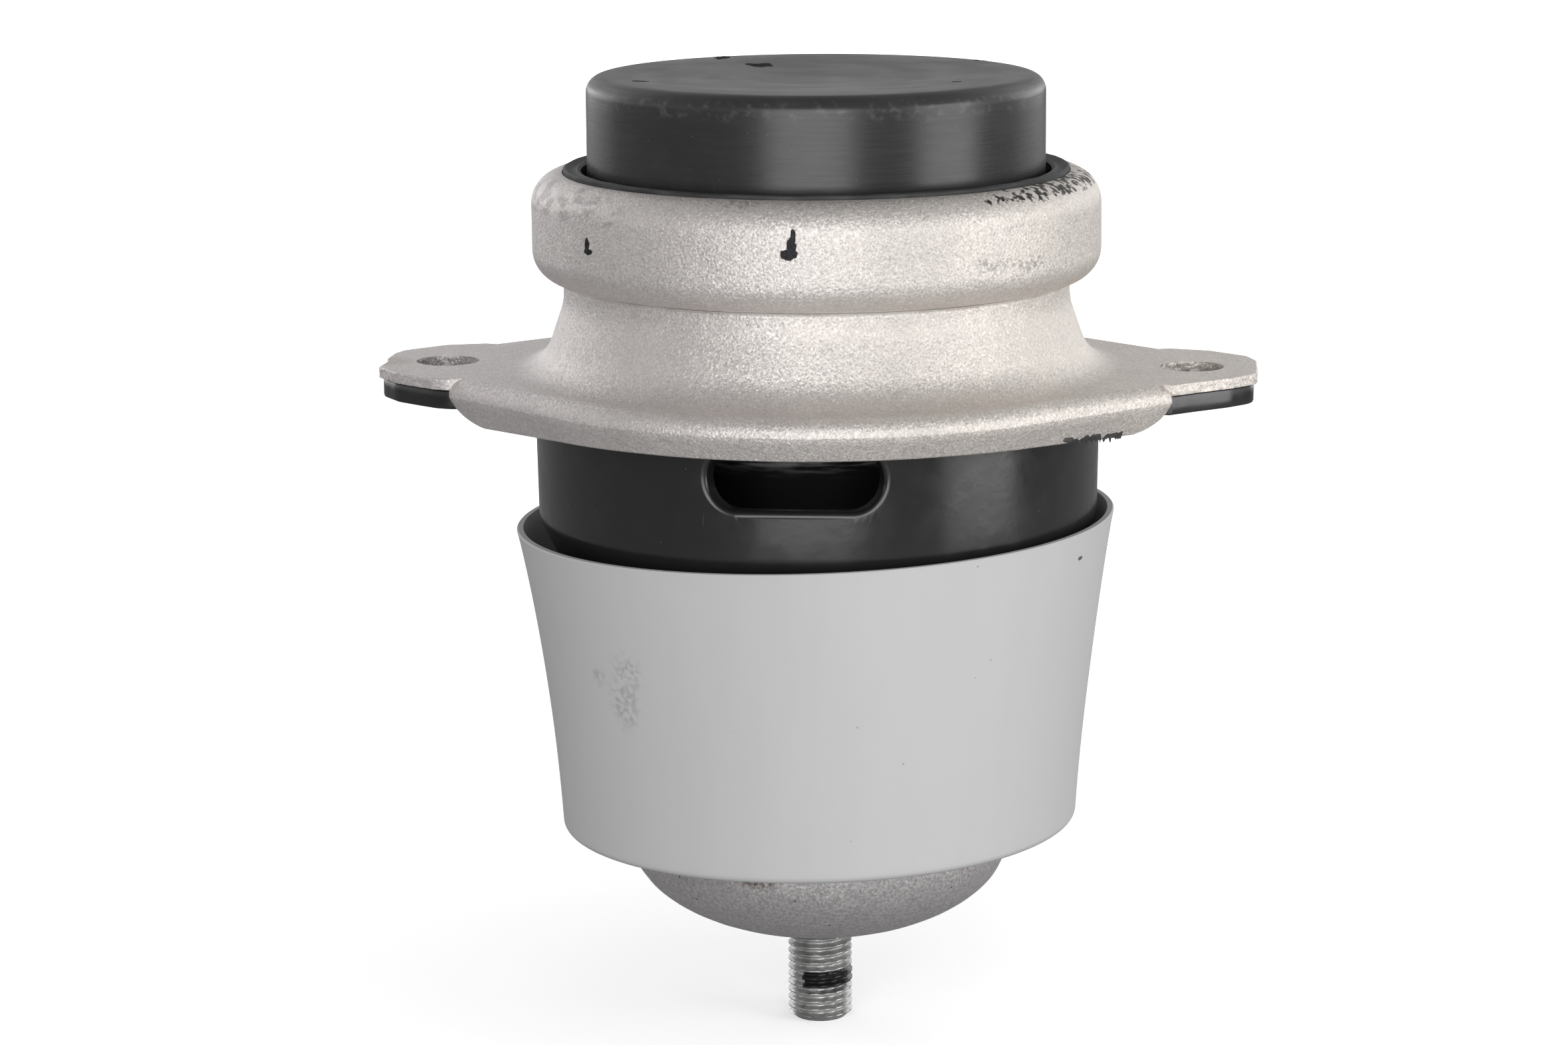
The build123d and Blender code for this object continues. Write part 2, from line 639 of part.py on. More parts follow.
with BuildPart() as lower_spacer:
    add(make_ring(passage_radius, SPACER_RADIUS, washer_top, stop_disc_bottom))
save(lower_spacer, "lower_spacer")

with BuildPart() as boot_washer:
    add(make_ring(passage_radius, washer_radius, boot_floor_top, washer_top))
save(boot_washer, "boot_washer")

# Rubber buffers: the upper one stops the rebound on the can's floor, the lower one the bump under it
with BuildPart() as rebound_buffer:
    inner = stop_disc_radius - REBOUND_BUFFER_WIDTH
    add(make_ring(inner, stop_disc_radius, rebound_buffer_bottom, stop_disc_bottom))
    fillet(rebound_buffer.edges().group_by(Axis.Z)[0], BUFFER_ROUND)
save(rebound_buffer, "rebound_buffer")

with BuildPart() as bump_buffer:
    inner = stop_disc_radius - BUMP_BUFFER_WIDTH
    add(make_ring(inner, stop_disc_radius, washer_top, bump_buffer_top))
    fillet(bump_buffer.edges().group_by(Axis.Z)[-1], BUFFER_ROUND)
save(bump_buffer, "bump_buffer")

# Heat shield boot: tall thin cup that flares towards its rim round the can
with BuildPart() as heat_shield_boot:
    with BuildSketch(Plane.XZ):
        with BuildLine():
            outside = ThreePointArc(
                (boot_rim_radius, BOOT_RIM),
                (boot_waist_radius, BOOT_WAIST),
                (boot_foot_radius, NOSE_TOP),
            )
            Polyline(outside @ 1, (passage_radius, NOSE_TOP), (passage_radius, boot_floor_top))
            Line((passage_radius, boot_floor_top), (boot_foot_radius - BOOT_WALL, boot_floor_top))
            inside = ThreePointArc(
                (boot_foot_radius - BOOT_WALL, boot_floor_top),
                (boot_waist_radius - BOOT_WALL, BOOT_WAIST),
                (boot_rim_radius - BOOT_WALL, BOOT_RIM),
            )
            Line(inside @ 1, outside @ 0)
        make_face()
    revolve(axis=Axis.Z)
    foot_edge = heat_shield_boot.edges().group_by(Axis.Z)[0].sort_by(SortBy.RADIUS)[-1]
    fillet(foot_edge, BOOT_FOOT_ROUND)
    fillet(heat_shield_boot.edges().group_by(Axis.Z)[-1], BOOT_RIM_ROUND)
save(heat_shield_boot, "heat_shield_boot")

# Nose: cast dome that locates the mount in its bracket
with BuildPart() as core_nose:
    with BuildSketch(Plane.XZ):
        with Locations((0, nose_crown)):
            Ellipse(nose_radius, NOSE_DEPTH)
        draw_ring_section(0, nose_radius, nose_crown, NOSE_TOP)
        draw_ring_section(passage_radius, nose_radius, stud_end, NOSE_TOP, mode=Mode.INTERSECT)
        draw_ring_section(0, NOSE_FLAT_RADIUS, stud_end, nose_flat, mode=Mode.SUBTRACT)
    revolve(axis=Axis.Z)
save(core_nose, "core_nose")

# Stud: held in the inner core's bore, with a plain shank and a seat for the thread-locking patch
with BuildPart() as stud:
    with BuildSketch(Plane.XZ):
        draw_ring_section(0, STUD_RADIUS, stud_end, STUD_TOP)
        draw_ring_section(STUD_SHANK_RADIUS, STUD_RADIUS, thread_top, INNER_CORE_BOTTOM, mode=Mode.SUBTRACT)
        draw_ring_section(patch_seat, STUD_RADIUS, patch_bottom, patch_top, mode=Mode.SUBTRACT)
    revolve(axis=Axis.Z)
    chamfer(stud.edges().group_by(Axis.Z)[0], STUD_CHAMFER)
save(stud, "stud")

with BuildPart() as thread_lock_patch:
    add(make_ring(patch_seat + BOND, STUD_RADIUS, patch_bottom, patch_top))
save(thread_lock_patch, "thread_lock_patch")
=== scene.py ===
"""Looks of the engine mount: blasted housing, coated steel, moulded boot, cast nose and threaded stud.

Sizes are in millimetres and become metres when a mesh is made. The part's own frame is kept: +Z up,
origin on the axis in the plane of the ears' upper faces, ears along X, the photographed side at -Y.
"""

from math import asin, atan2, ceil, cos, degrees, hypot, pi, radians, sin, tan

import bmesh
import bpy
import numpy as np
from mathutils import Matrix, Vector, noise


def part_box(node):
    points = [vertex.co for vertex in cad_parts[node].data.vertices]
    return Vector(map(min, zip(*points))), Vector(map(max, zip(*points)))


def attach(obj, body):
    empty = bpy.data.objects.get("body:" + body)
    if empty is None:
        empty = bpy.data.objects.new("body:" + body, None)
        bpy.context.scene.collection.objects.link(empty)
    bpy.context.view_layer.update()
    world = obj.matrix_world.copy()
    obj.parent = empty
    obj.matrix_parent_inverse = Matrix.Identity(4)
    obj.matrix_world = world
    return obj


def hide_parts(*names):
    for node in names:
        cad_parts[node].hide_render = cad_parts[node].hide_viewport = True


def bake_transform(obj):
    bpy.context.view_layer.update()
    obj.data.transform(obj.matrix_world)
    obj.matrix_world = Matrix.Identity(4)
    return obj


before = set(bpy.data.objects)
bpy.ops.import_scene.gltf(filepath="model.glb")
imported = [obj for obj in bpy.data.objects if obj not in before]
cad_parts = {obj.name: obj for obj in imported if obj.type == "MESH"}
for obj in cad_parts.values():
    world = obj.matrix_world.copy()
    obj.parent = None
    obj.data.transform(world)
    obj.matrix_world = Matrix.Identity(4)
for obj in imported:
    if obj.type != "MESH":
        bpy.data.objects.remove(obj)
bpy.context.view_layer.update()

MM = 0.001
SHARP_ANGLE = 40.0
SHARP_ANGLE_CUT = 38.0

# Housing shell
SHELL_SHEET = 2.0
SHELL_LINE = [
    (45.8, 35.6), (51.5, 35.6), (51.5, 16.2), (45.9, 16.2), (45.9, 12.2), (50.1, 0.0), (56.1, 0.0),
]
SHELL_ROUNDS = [5.6, 5.6, 0.8, 10.0, 7.5]
FLANGE_RADIUS = 59.6
SHOULDER_RADIUS = 8.0
SHOULDER = (58.0, 15.9)
LIP_ROUND = 3.1
LIP_BAND = 0.2
LIP_DEPTH = 7.5
LIP_TURN = 2.3
LIP_END_RISE = 3.5
LIP_END_RUN = 4.0
LIP_END_DEEPER = 0.8
LIP_DEEPER_RUN = 28.0
LIP_GAP_HALF = 20.6
LIP_FOOT_EASE = 0.25
LIP_FOOT_ROUND = 0.12
LIP_OUTER_SHARES = (0.0, 0.33, 0.66, 0.96, 1.0)
LIP_INNER_SHARES = (0.95, 0.6, 0.25, 0.0)
EAR_EDGE_ROUND = 0.35
EAR_EDGE_POINTS = 10
EAR_SHEAR_POINTS = 5
SHEARED_ROWS = 10
BOLT_OFFSET = 68.0
BOLT_HOLE_RADIUS = 5.75
DRILL_PAST = 1.0

# Unevenness of each surface: width of its features, its height, and a seed
SHELL_UNEVEN = (14.0, 0.09, 3.0)
SHEAR_UNEVEN = (0.9, 0.22, 8.0)
HOLE_UNEVEN = (0.8, 0.16, 20.0)
BOOT_UNEVEN = (30.0, 0.12, 5.0)
NOSE_UNEVEN = (4.0, 0.12, 7.0)

# Corner points of each ear from its front root to its back root: x is measured outwards
EAR_ROOT = 64.474
EAR_RIGHT = [
    (EAR_ROOT, -LIP_GAP_HALF), (69.3, -16.4), (75.2, -11.7), (79.6, -7.0), (79.8, 0.5), (79.8, 7.5),
    (78.3, 12.5), (71.5, 18.5), (EAR_ROOT, LIP_GAP_HALF),
]
EAR_LEFT = [
    (EAR_ROOT, -LIP_GAP_HALF), (67.6, -19.8), (71.6, -16.7), (75.9, -13.1), (79.6, -7.2), (79.0, -0.6),
    (79.7, 2.0), (79.4, 8.5), (78.2, 12.0), (71.5, 18.5), (EAR_ROOT, LIP_GAP_HALF),
]
EAR_ROUND = 1.6
CAN_EAR_ROUND = 4.0

# Travel limiter can
CAN_SHEET = 3.4
CAN_PLATE_TOP = -2.2
CAN_LINE = [(53.95, -5.6), (51.4, -5.6), (51.0, -27.2), (43.0, -44.0), (43.0, -64.5), (24.0, -64.5)]
CAN_ROUNDS = [2.5, 7.0, 14.0, 8.0]
CAN_PLATE_INSET = 5.1
CAN_EAR_INSET = 0.6
CAN_EAR_SPREAD = 22.0
CAN_EDGE_ROUND = 0.5
CAN_FOOT_EASE = 0.4
SLOT_LENGTH = 32.5
SLOT_HEIGHT = 12.0
SLOT_MIDDLE = -12.2
SLOT_ROUND = 1.1
SLOT_CUTTER_INSIDE = 4.0
SLOT_CUTTER_OUTSIDE = 8.0
SLOT_CUTTER_FLARE = 1.05

# Top cover and the seal round it
COVER_SHEET = 1.5
COVER_LINE = [(0.0, 51.6), (8.0, 51.6), (34.0, 52.8), (41.4, 52.8), (41.4, 31.45), (49.0, 31.45)]
COVER_ROUNDS = [40.0, 40.0, 2.9, 1.0]
SEAL_SECTION = [
    (42.5, 31.5), (48.8, 31.5), (48.2, 32.5), (46.4, 33.5), (45.7, 33.5),
    (45.7, 36.2), (45.3, 36.4), (44.8, 36.0), (44.3, 35.7), (43.5, 35.8), (43.1, 36.1), (42.5, 35.8),
]
SEAL_WAVE = 0.12
SEAL_WAVE_LENGTH = 5.0

# Boot, nose and stud
BOOT_WALL = 1.4
BOOT_THINNER = 0.4
BOOT_FLOOR = 2.2
BOOT_OUTSIDE = [(54.7, -27.8), (50.2, -56.0), (47.4, -85.0)]
BOOT_FOOT_ROUND = 1.5
BOOT_HEIGHT = 57.2
BOOT_FOOT_LEAN = 1.1
BOOT_RIM_LEAN = 1.8
BOOT_SHIFT = 0.55
BOOT_FLOOR_FLAT = 30.0
BOOT_LEAN_FROM = 36.0
BOOT_LEAN_RUN = 10.0
NOSE_RADIUS = 34.9
NOSE_TOP = -85.0
NOSE_CROWN = -88.7
NOSE_DEPTH = 17.3
NOSE_FLAT_RADIUS = 8.0
NOSE_EDGE_ROUND = 0.4
STUD_RADIUS = 5.95
STUD_END = -123.6
STUD_CHAMFER = 1.3
THREAD_PITCH = 1.5
THREAD_DEPTH = 0.92
THREAD_STEP = 0.1
THREAD_CREST_SHARE = 0.16
THREAD_FLANK_SHARE = 0.68
STUD_END_SLOPE = 1.2
PATCH_TOP = -113.5
PATCH_BOTTOM = -117.5
PATCH_ENDS = (-128, 100)
PATCH_SKIN = 0.07
PATCH_RAGGED = 0.5
PATCH_END_MARGIN = 0.6
PATCH_SIDE_MARGIN = 0.35
PATCH_FADE = 0.25
BORE_RADIUS = 6.25

# Rubber spring: three points of its underside's arc, its skin on the core, three of its hollow's arc
SPRING_BELLY = ((44.93, 4.4), (32.0, -6.0), (24.0, -24.0))
SPRING_SKIN = [
    (24.6, -26.0), (24.6, -30.4), (12.3, -30.4), (12.3, -29.6), (23.4, -29.6), (23.4, -26.2), (13.0, 3.0),
]
SPRING_HOLLOW = ((13.28, 4.0), (28.5, 3.5), (42.0, 16.9))
SPRING_FOOT = (42.0, 12.8)

# Torn flash: its ends in degrees round the axis, its top, its foot before it hangs and half its width
FLASH_ENDS = (-38.0, -24.2)
FLASH_TOP = -6.9
FLASH_FOOT = -7.5
FLASH_HALF = 0.28
FLASH_TIP_HALF = 0.06

# Colours of the finishes, of what has marked them, and of the light and shade painted on them
# painted light: the first two steel colours are its tint on the left, cooler, and on the right, warmer, as
# the light falls on it
STEEL_LIT_COOL = (0.60, 0.568, 0.560)
STEEL_LIT_WARM = (0.598, 0.560, 0.522)
STEEL_CLOUD = (0.475, 0.451, 0.442)
# partly painted highlight, partly scratches: the bright colour along the crease under the bulge
STEEL_CREASE_HIGHLIGHT_AND_SCRATCH = (0.80, 0.78, 0.75)
STEEL_SCRATCH = (0.9, 0.88, 0.85)
STEEL_SMEAR = (0.045, 0.043, 0.042)
STEEL_DULL = (0.24, 0.23, 0.23)
STEEL_CHIP = (0.025, 0.025, 0.027)
STEEL_STAIN = (0.33, 0.27, 0.20)
CAN_COAT = (0.012, 0.012, 0.0122)
COVER_COAT = (0.020, 0.020, 0.0205)
RUBBER_DARK = (0.024, 0.024, 0.025)
RUBBER_SCUFF = (0.055, 0.055, 0.056)
BOOT_DARK = (0.468, 0.470, 0.469)
BOOT_LIGHT = (0.476, 0.478, 0.477)
CAST_DARK = (0.40, 0.384, 0.386)
CAST_LIGHT = (0.58, 0.561, 0.560)
CAST_RUST = (0.12, 0.075, 0.045)
ZINC_LIGHT = (0.60, 0.60, 0.595)
ZINC_DARK = (0.46, 0.46, 0.455)
# Half the width over which the painted light's tint turns from cool to warm across the steel
SHELL_LIGHT_TINT_SPAN = 60.0

# Marks that the finishes carry: centre and radii of each
STEEL_CHIPS = [
    ((-0.7, -51.5, 27.0), (1.5, 2.0, 0.95)), ((-0.2, -51.5, 28.4), (0.85, 2.0, 1.4)),
    ((0.1, -51.5, 29.9), (0.42, 2.0, 1.5)), ((-37.0, -36.0, 25.2), (1.1, 1.6, 0.55)),
    ((-37.2, -35.7, 26.4), (0.5, 1.6, 1.2)),
]
STEEL_SPECKLED = [
    ((33.5, -39.0, 24.0), (3.5, 5.0, 1.5)), ((39.5, -33.0, 23.3), (4.0, 5.0, 1.3)),
    ((-9.0, -45.0, 34.8), (4.0, 4.0, 1.0)),
]
STEEL_SCRATCHED = [
    ((-1.3, -50.0, 3.0), (7.0, 6.0, 6.0)), ((-4.9, -47.8, 11.5), (9.0, 6.0, 4.0)),
    ((-5.0, -51.0, 20.5), (8.0, 6.0, 3.0)),
]
EAR_STAIN = ((-78.5, -1.5, -0.3), (4.2, 4.5, 3.0))
BOOT_SMUDGES = [
    ((-35.5, -35.2, -49.5), (1.6, 2.0, 2.6)), ((-29.5, -40.3, -48.5), (3.6, 3.0, 3.4)),
    ((-31.0, -39.5, -54.0), (3.0, 3.0, 5.0)),
]
BOOT_NICK = ((48.2, -22.2, -31.0), (0.9, 0.9, 0.35))
NOSE_RUST = [((-8.5, -33.6, -88.2), (3.4, 2.5, 1.4)), ((27.0, -21.0, -88.0), (5.0, 3.0, 1.0))]

# Chips in the cover's top: x, y, half their width and half their depth in plan
COVER_CHIPS = [
    (-20.0, 30.4, 1.5, 3.0), (-11.9, 20.8, 2.5, 2.2), (-30.0, -14.5, 1.5, 0.6), (29.6, 26.8, 1.9, 1.3),
    (25.9, -12.1, 0.9, 0.35),
]
CHIP_PROUD = 0.05
CHIP_DEPTH = 0.4
CHIP_POINTS = 36
CHIP_RAGGED = 0.45

# Camera: its place in metres, the directions of its frame, and its turn from -Y in degrees
CAMERA_PLACE = (0.06286, -0.78125, 0.12830)
CAMERA_RIGHT = (0.99620, 0.08684, -0.00643)
CAMERA_UP = (-0.01087, 0.19720, 0.98030)
CAMERA_LENS = 100.0
SENSOR_WIDTH = 36.0
CAMERA_TURN = 4.6

# Light: radiance of the surroundings and of the floor round the object, where the white backdrop is 1
WORLD_LEVEL = 0.86
SKY_SHARE = 0.35
SKY_SPAN = (0.2, 0.85)
ROOM_LEVEL = 0.6
ROOM_SPAN = (-0.35, 0.35)
FLOOR_HEIGHT = STUD_END
FLOOR_BOUNCE = 0.38
FLOOR_SEEN = 0.9
FLOOR_GLOW = 0.35
FLOOR_FADE = (0.12, 0.5)
FLOOR_HALF = 6.0


# Lines and sections


def line_beside(points, distance):
    """Corner points of the line at a distance on the right of another line."""
    corners = np.array(points, float)
    runs = np.diff(corners, axis=0)
    runs /= np.linalg.norm(runs, axis=1)[:, None]
    sides = np.column_stack([runs[:, 1], -runs[:, 0]])
    beside = [corners[0] + sides[0] * distance]
    for corner, before, after in zip(corners[1:-1], sides, sides[1:]):
        beside.append(corner + (before + after) * distance / (1 + before @ after))
    beside.append(corners[-1] + sides[-1] * distance)
    return beside


def rounds_beside(points, rounds, distance):
    """Corner radii of that line: smaller where it turns right, larger where it turns left."""
    runs = np.diff(np.array(points, float), axis=0)
    turns = runs[:-1, 0] * runs[1:, 1] - runs[:-1, 1] * runs[1:, 0]
    return [radius - distance if turn < 0 else radius + distance for radius, turn in zip(rounds, turns)]


def arc_corner(before, corner, after, radius, step):
    """Points of the arc that rounds one corner, about one for each step of degrees."""
    before, corner, after = (np.array(p, float) for p in (before, corner, after))
    back = (before - corner) / np.linalg.norm(before - corner)
    on = (after - corner) / np.linalg.norm(after - corner)
    half = np.arccos(np.clip(back @ on, -1, 1)) / 2
    if radius <= 0 or half > pi / 2 - 1e-4:
        return [corner]
    middle = corner + (back + on) / np.linalg.norm(back + on) * radius / sin(half)
    start = corner + back * radius / tan(half) - middle
    end = corner + on * radius / tan(half) - middle
    turn = pi - 2 * half
    count = max(2, ceil(degrees(turn) / step))
    share = np.linspace(0, 1, count + 1)
    weights = np.sin((1 - share) * turn) / sin(turn), np.sin(share * turn) / sin(turn)
    return [middle + a * start + b * end for a, b in zip(*weights)]


def rounded_line(points, rounds, step=7.0, longest=4.0):
    """Open line with its inner corners rounded, and its long runs divided."""
    line = [np.array(points[0], float)]
    for index, radius in enumerate(rounds, start=1):
        line.extend(arc_corner(points[index - 1], points[index], points[index + 1], radius, step))
    line.append(np.array(points[-1], float))
    return divided(line, longest)


def divided(line, longest):
    """The same line with no run longer than the given length."""
    result = [line[0]]
    for start, end in zip(line, line[1:]):
        length = np.linalg.norm(end - start)
        if length < 1e-6:
            continue
        count = ceil(length / longest)
        result.extend(start + (end - start) * k / count for k in range(1, count + 1))
    return result


def sheet_section(points, rounds, sheet, edge=0.25, longest=4.0):
    """Closed section of bent sheet: outer line, rounded edge, inner line back, rounded edge."""
    outer = rounded_line(points, rounds, longest=longest)
    inner = inner_line(points, rounds, sheet, longest)
    return [*eased(outer, edge), *eased(inner, edge)]


def inner_line(points, rounds, sheet, longest):
    """The sheet's other face as a line from its end back to its start."""
    beside, beside_rounds = line_beside(points, sheet), rounds_beside(points, rounds, sheet)
    return rounded_line(beside, beside_rounds, longest=longest)[::-1]


def eased(line, edge):
    """A line whose two ends stop short of the sheet's corner by the edge's rounding."""
    first, last = line[0], line[-1]
    start = first + (line[1] - first) / np.linalg.norm(line[1] - first) * edge
    end = last + (line[-2] - last) / np.linalg.norm(line[-2] - last) * edge
    return [start, *line[1:-1], end]


# Meshes


def new_piece(name, points, faces, finish):
    """Mesh object from points in millimetres, smooth but for its sharp edges."""
    mesh = bpy.data.meshes.new(name)
    mesh.from_pydata((np.asarray(points, float) * MM).tolist(), [], faces)
    mesh.validate()
    mesh.shade_smooth()
    mesh.set_sharp_from_angle(angle=radians(SHARP_ANGLE))
    piece = bpy.data.objects.new(name, mesh)
    bpy.context.scene.collection.objects.link(piece)
    piece.data.materials.append(finish)
    return piece


def ring_faces(rows, columns, closed):
    """Quads between neighbouring rows, each row a closed ring of points."""
    faces = []
    for row in range(rows if closed else rows - 1):
        here, there = row * columns, (row + 1) % rows * columns
        for k in range(columns):
            after = (k + 1) % columns
            faces.append((here + k, there + k, there + after, here + after))
    return faces


def ring_piece(name, rows, finish, closed=True):
    """Piece from rows of points round the axis. A closed one joins its last row to its first."""
    rows = np.asarray(rows, float)
    count, columns, _ = rows.shape
    piece = new_piece(name, rows.reshape(-1, 3), ring_faces(count, columns, closed), finish)
    weld(piece)
    return piece


def weld(piece):
    """Joins points that lie together, such as those of a row on the axis, and faces the mesh outwards."""
    form = bmesh.new()
    form.from_mesh(piece.data)
    bmesh.ops.remove_doubles(form, verts=form.verts, dist=1e-6)
    bmesh.ops.recalc_face_normals(form, faces=form.faces)
    form.to_mesh(piece.data)
    form.free()


def lathe_rows(section, angles):
    """Rows of points for a section turned round the axis."""
    section = np.asarray(section, float)
    rows = np.empty((len(section), len(angles), 3))
    rows[:, :, 0] = section[:, :1] * np.cos(angles)
    rows[:, :, 1] = section[:, :1] * np.sin(angles)
    rows[:, :, 2] = section[:, 1:]
    return rows


def ring_row(radius, angles, z):
    """One row of points round the axis, level at a height."""
    return np.column_stack([radius * np.cos(angles), radius * np.sin(angles), np.full(len(angles), z)])


def capped(rows):
    """The rows with one more at each end that closes the form at its middle."""
    rows = np.array(rows)
    ends = [np.repeat(rows[k].mean(axis=0)[None], rows.shape[1], axis=0)[None] for k in (0, -1)]
    return np.concatenate([ends[0], rows, ends[1]])


def full_turn(count):
    """Evenly spaced angles for one whole turn."""
    return np.linspace(0, 2 * pi, count, endpoint=False)


def lump(point, size, seed=0.0):
    """Smooth random number from -1 to 1 at a point, with features about as wide as the size."""
    return noise.noise(Vector((point[0] / size + seed, point[1] / size, point[2] / size)))


def roughen(rows, size, amount, seed, chosen=None):
    """Moves points along their radius by smooth noise, which leaves the form slightly uneven."""
    for row in range(rows.shape[0]) if chosen is None else chosen:
        for column in range(rows.shape[1]):
            x, y, z = rows[row, column]
            radius = hypot(x, y)
            if radius < 1e-6:
                continue
            grown = 1 + amount * lump((x, y, z), size, seed) / radius
            rows[row, column, 0] = x * grown
            rows[row, column, 1] = y * grown


def cut(piece, tool):
    """Takes the tool's volume out of the piece and deletes the tool."""
    modifier = piece.modifiers.new("cut", "BOOLEAN")
    modifier.operation = "DIFFERENCE"
    modifier.solver = "EXACT"
    modifier.object = tool
    graph = bpy.context.evaluated_depsgraph_get()
    mesh = bpy.data.meshes.new_from_object(piece.evaluated_get(graph), depsgraph=graph)
    old = piece.data
    piece.modifiers.clear()
    piece.data = mesh
    bpy.data.meshes.remove(old)
    bpy.data.objects.remove(tool)
    piece.data.shade_smooth()
    piece.data.set_sharp_from_angle(angle=radians(SHARP_ANGLE_CUT))


# Plan outlines as radius by angle


def radius_at(outline, angles):
    """Distance from the axis to a closed outline that goes round it, at each angle."""
    outline = np.asarray(outline, float)
    turn = np.unwrap(np.arctan2(outline[:, 1], outline[:, 0]))
    reach = np.hypot(outline[:, 0], outline[:, 1])
    order = np.argsort(turn)
    turn, reach = turn[order], reach[order]
    turn = np.concatenate([turn - 2 * pi, turn, turn + 2 * pi])
    reach = np.tile(reach, 3)
    return np.interp(angles, turn, reach)


def flange_outline(inset):
    """Plan of the flange inside its widest outline: a round drawn out to two shoulders."""
    shoulder_x, shoulder_y = SHOULDER
    gap = FLANGE_RADIUS - SHOULDER_RADIUS
    spread = hypot(shoulder_x, shoulder_y)
    tangent = atan2(shoulder_y, shoulder_x) + np.arccos(gap / spread)
    points = []
    for angle in np.linspace(0, tangent, 24):
        radius = SHOULDER_RADIUS - inset
        points.append((shoulder_x + radius * cos(angle), shoulder_y + radius * sin(angle)))
    start, normal = np.array(points[-1]), np.array((cos(tangent), sin(tangent)))
    end = normal * (FLANGE_RADIUS - inset)
    points.extend(start + (end - start) * k / 20 for k in range(1, 20))
    for angle in np.linspace(tangent, pi / 2, 40):
        points.append(((FLANGE_RADIUS - inset) * cos(angle), (FLANGE_RADIUS - inset) * sin(angle)))
    quarter = np.array(points)
    left = (quarter * (-1, 1))[::-1]
    half = np.vstack([quarter, left[1:]])
    return np.vstack([half, (half * (1, -1))[::-1]])


def ear_outline(corners, inset, side, rounding):
    """Plan of one ear as a fine line from its front root to its back root."""
    points = line_beside(corners, -inset) if inset else [np.array(p, float) for p in corners]
    line = rounded_line(points, [rounding] * (len(points) - 2), step=12.0, longest=0.8)
    return np.array(line) * (side, 1)


def ear_radius(inset, angles, rounding):
    """Distance from the axis to the ears' outline, and 0 where there is no ear."""
    result = np.zeros(len(angles))
    for corners, side in ((EAR_RIGHT, 1), (EAR_LEFT, -1)):
        line = ear_outline(corners, inset, side, rounding)
        middle = 0.0 if side > 0 else pi
        turn = (np.arctan2(line[:, 1], line[:, 0]) - middle + pi) % (2 * pi) - pi
        order = np.argsort(turn)
        here = (angles - middle + pi) % (2 * pi) - pi
        inside = np.abs(here) <= max(turn.max(), -turn.min()) + 1e-6
        reach = np.interp(here, turn[order], np.hypot(line[:, 0], line[:, 1])[order])
        result = np.where(inside, reach, result)
    return result


def polar_angles(dense_half, fine, coarse):
    """Angles round the axis, set closer at the two ears than elsewhere."""
    near = np.arange(-dense_half, dense_half, fine)
    far = np.arange(dense_half, 180 - dense_half, coarse)
    return np.radians(np.concatenate([near, far, near + 180, far + 180]))


def shell_angles():
    """Angles round the axis, and a flag for the ears. Each end of the lip is there once for either."""
    rise = asin((LIP_GAP_HALF - SHOULDER[1]) / SHOULDER_RADIUS)
    end = degrees(atan2(LIP_GAP_HALF, SHOULDER[0] + SHOULDER_RADIUS * cos(rise)))
    ear = np.linspace(-end, end, 101)
    corner = np.linspace(end, end + 8, 33)
    lip = np.concatenate([corner, np.arange(end + 9.2, 180 - end - 8.6, 1.2), 180 - corner[::-1]])
    angles = np.concatenate([ear, lip, ear + 180, lip + 180])
    flags = [np.full(len(part), is_ear) for part, is_ear in ((ear, True), (lip, False)) * 2]
    return np.radians(angles), np.concatenate(flags)


# Housing shell


def lip_depth(angles, reach):
    """How far the rolled lip hangs below the flange at each angle: rounded up at its very ends."""
    y = np.abs(reach * np.sin(angles))
    run = np.clip((LIP_GAP_HALF + LIP_END_RUN - y) / LIP_END_RUN, 0, 1)
    fall = np.clip((y - LIP_GAP_HALF - LIP_END_RUN) / LIP_DEEPER_RUN, 0, 1)
    deeper = LIP_END_DEEPER * (1 - run) * (1 - fall)
    return LIP_DEPTH - LIP_END_RISE + LIP_END_RISE * np.sqrt(1 - run**2) + deeper


def lip_section(reach, depth):
    """Points of one section through the rolled lip, from the flat top round to the flat underside."""
    roll_foot = -LIP_ROUND - LIP_BAND
    points = []
    for angle in np.radians(np.linspace(90, 0, 10)):
        points.append((reach - LIP_ROUND + LIP_ROUND * cos(angle), -LIP_ROUND + LIP_ROUND * sin(angle)))
    lean = LIP_TURN / (LIP_DEPTH + roll_foot)
    for share in LIP_OUTER_SHARES:
        drop = (depth + roll_foot) * share
        points.append((reach - lean * drop, roll_foot - drop))
    foot_x = points[-1][0]
    points.append((foot_x - LIP_FOOT_EASE, -depth - LIP_FOOT_ROUND))
    points.append((foot_x - SHELL_SHEET + 0.2, -depth - 0.02))
    inner_round = LIP_ROUND - SHELL_SHEET
    for share in LIP_INNER_SHARES:
        drop = (depth + roll_foot) * share
        points.append((reach - SHELL_SHEET - lean * drop, roll_foot - drop))
    for angle in np.radians(np.linspace(0, 90, 5)):
        inside = reach - LIP_ROUND + inner_round * cos(angle)
        points.append((inside, -LIP_ROUND + inner_round * sin(angle)))
    return points


def ear_section(reach):
    """The same number of points through the sheared edge of an ear."""
    points = []
    for angle in np.radians(np.linspace(90, 0, EAR_EDGE_POINTS)):
        inside = reach - EAR_EDGE_ROUND + EAR_EDGE_ROUND * cos(angle)
        points.append((inside, -EAR_EDGE_ROUND + EAR_EDGE_ROUND * sin(angle)))
    for share in np.linspace(0.15, 0.95, EAR_SHEAR_POINTS):
        points.append((reach, -EAR_EDGE_ROUND - (SHELL_SHEET - EAR_EDGE_ROUND) * share))
    points.append((reach - 0.03, -SHELL_SHEET))
    for inset in np.linspace(0.3, LIP_ROUND + 0.4, 10):
        points.append((reach - inset, -SHELL_SHEET))
    return points


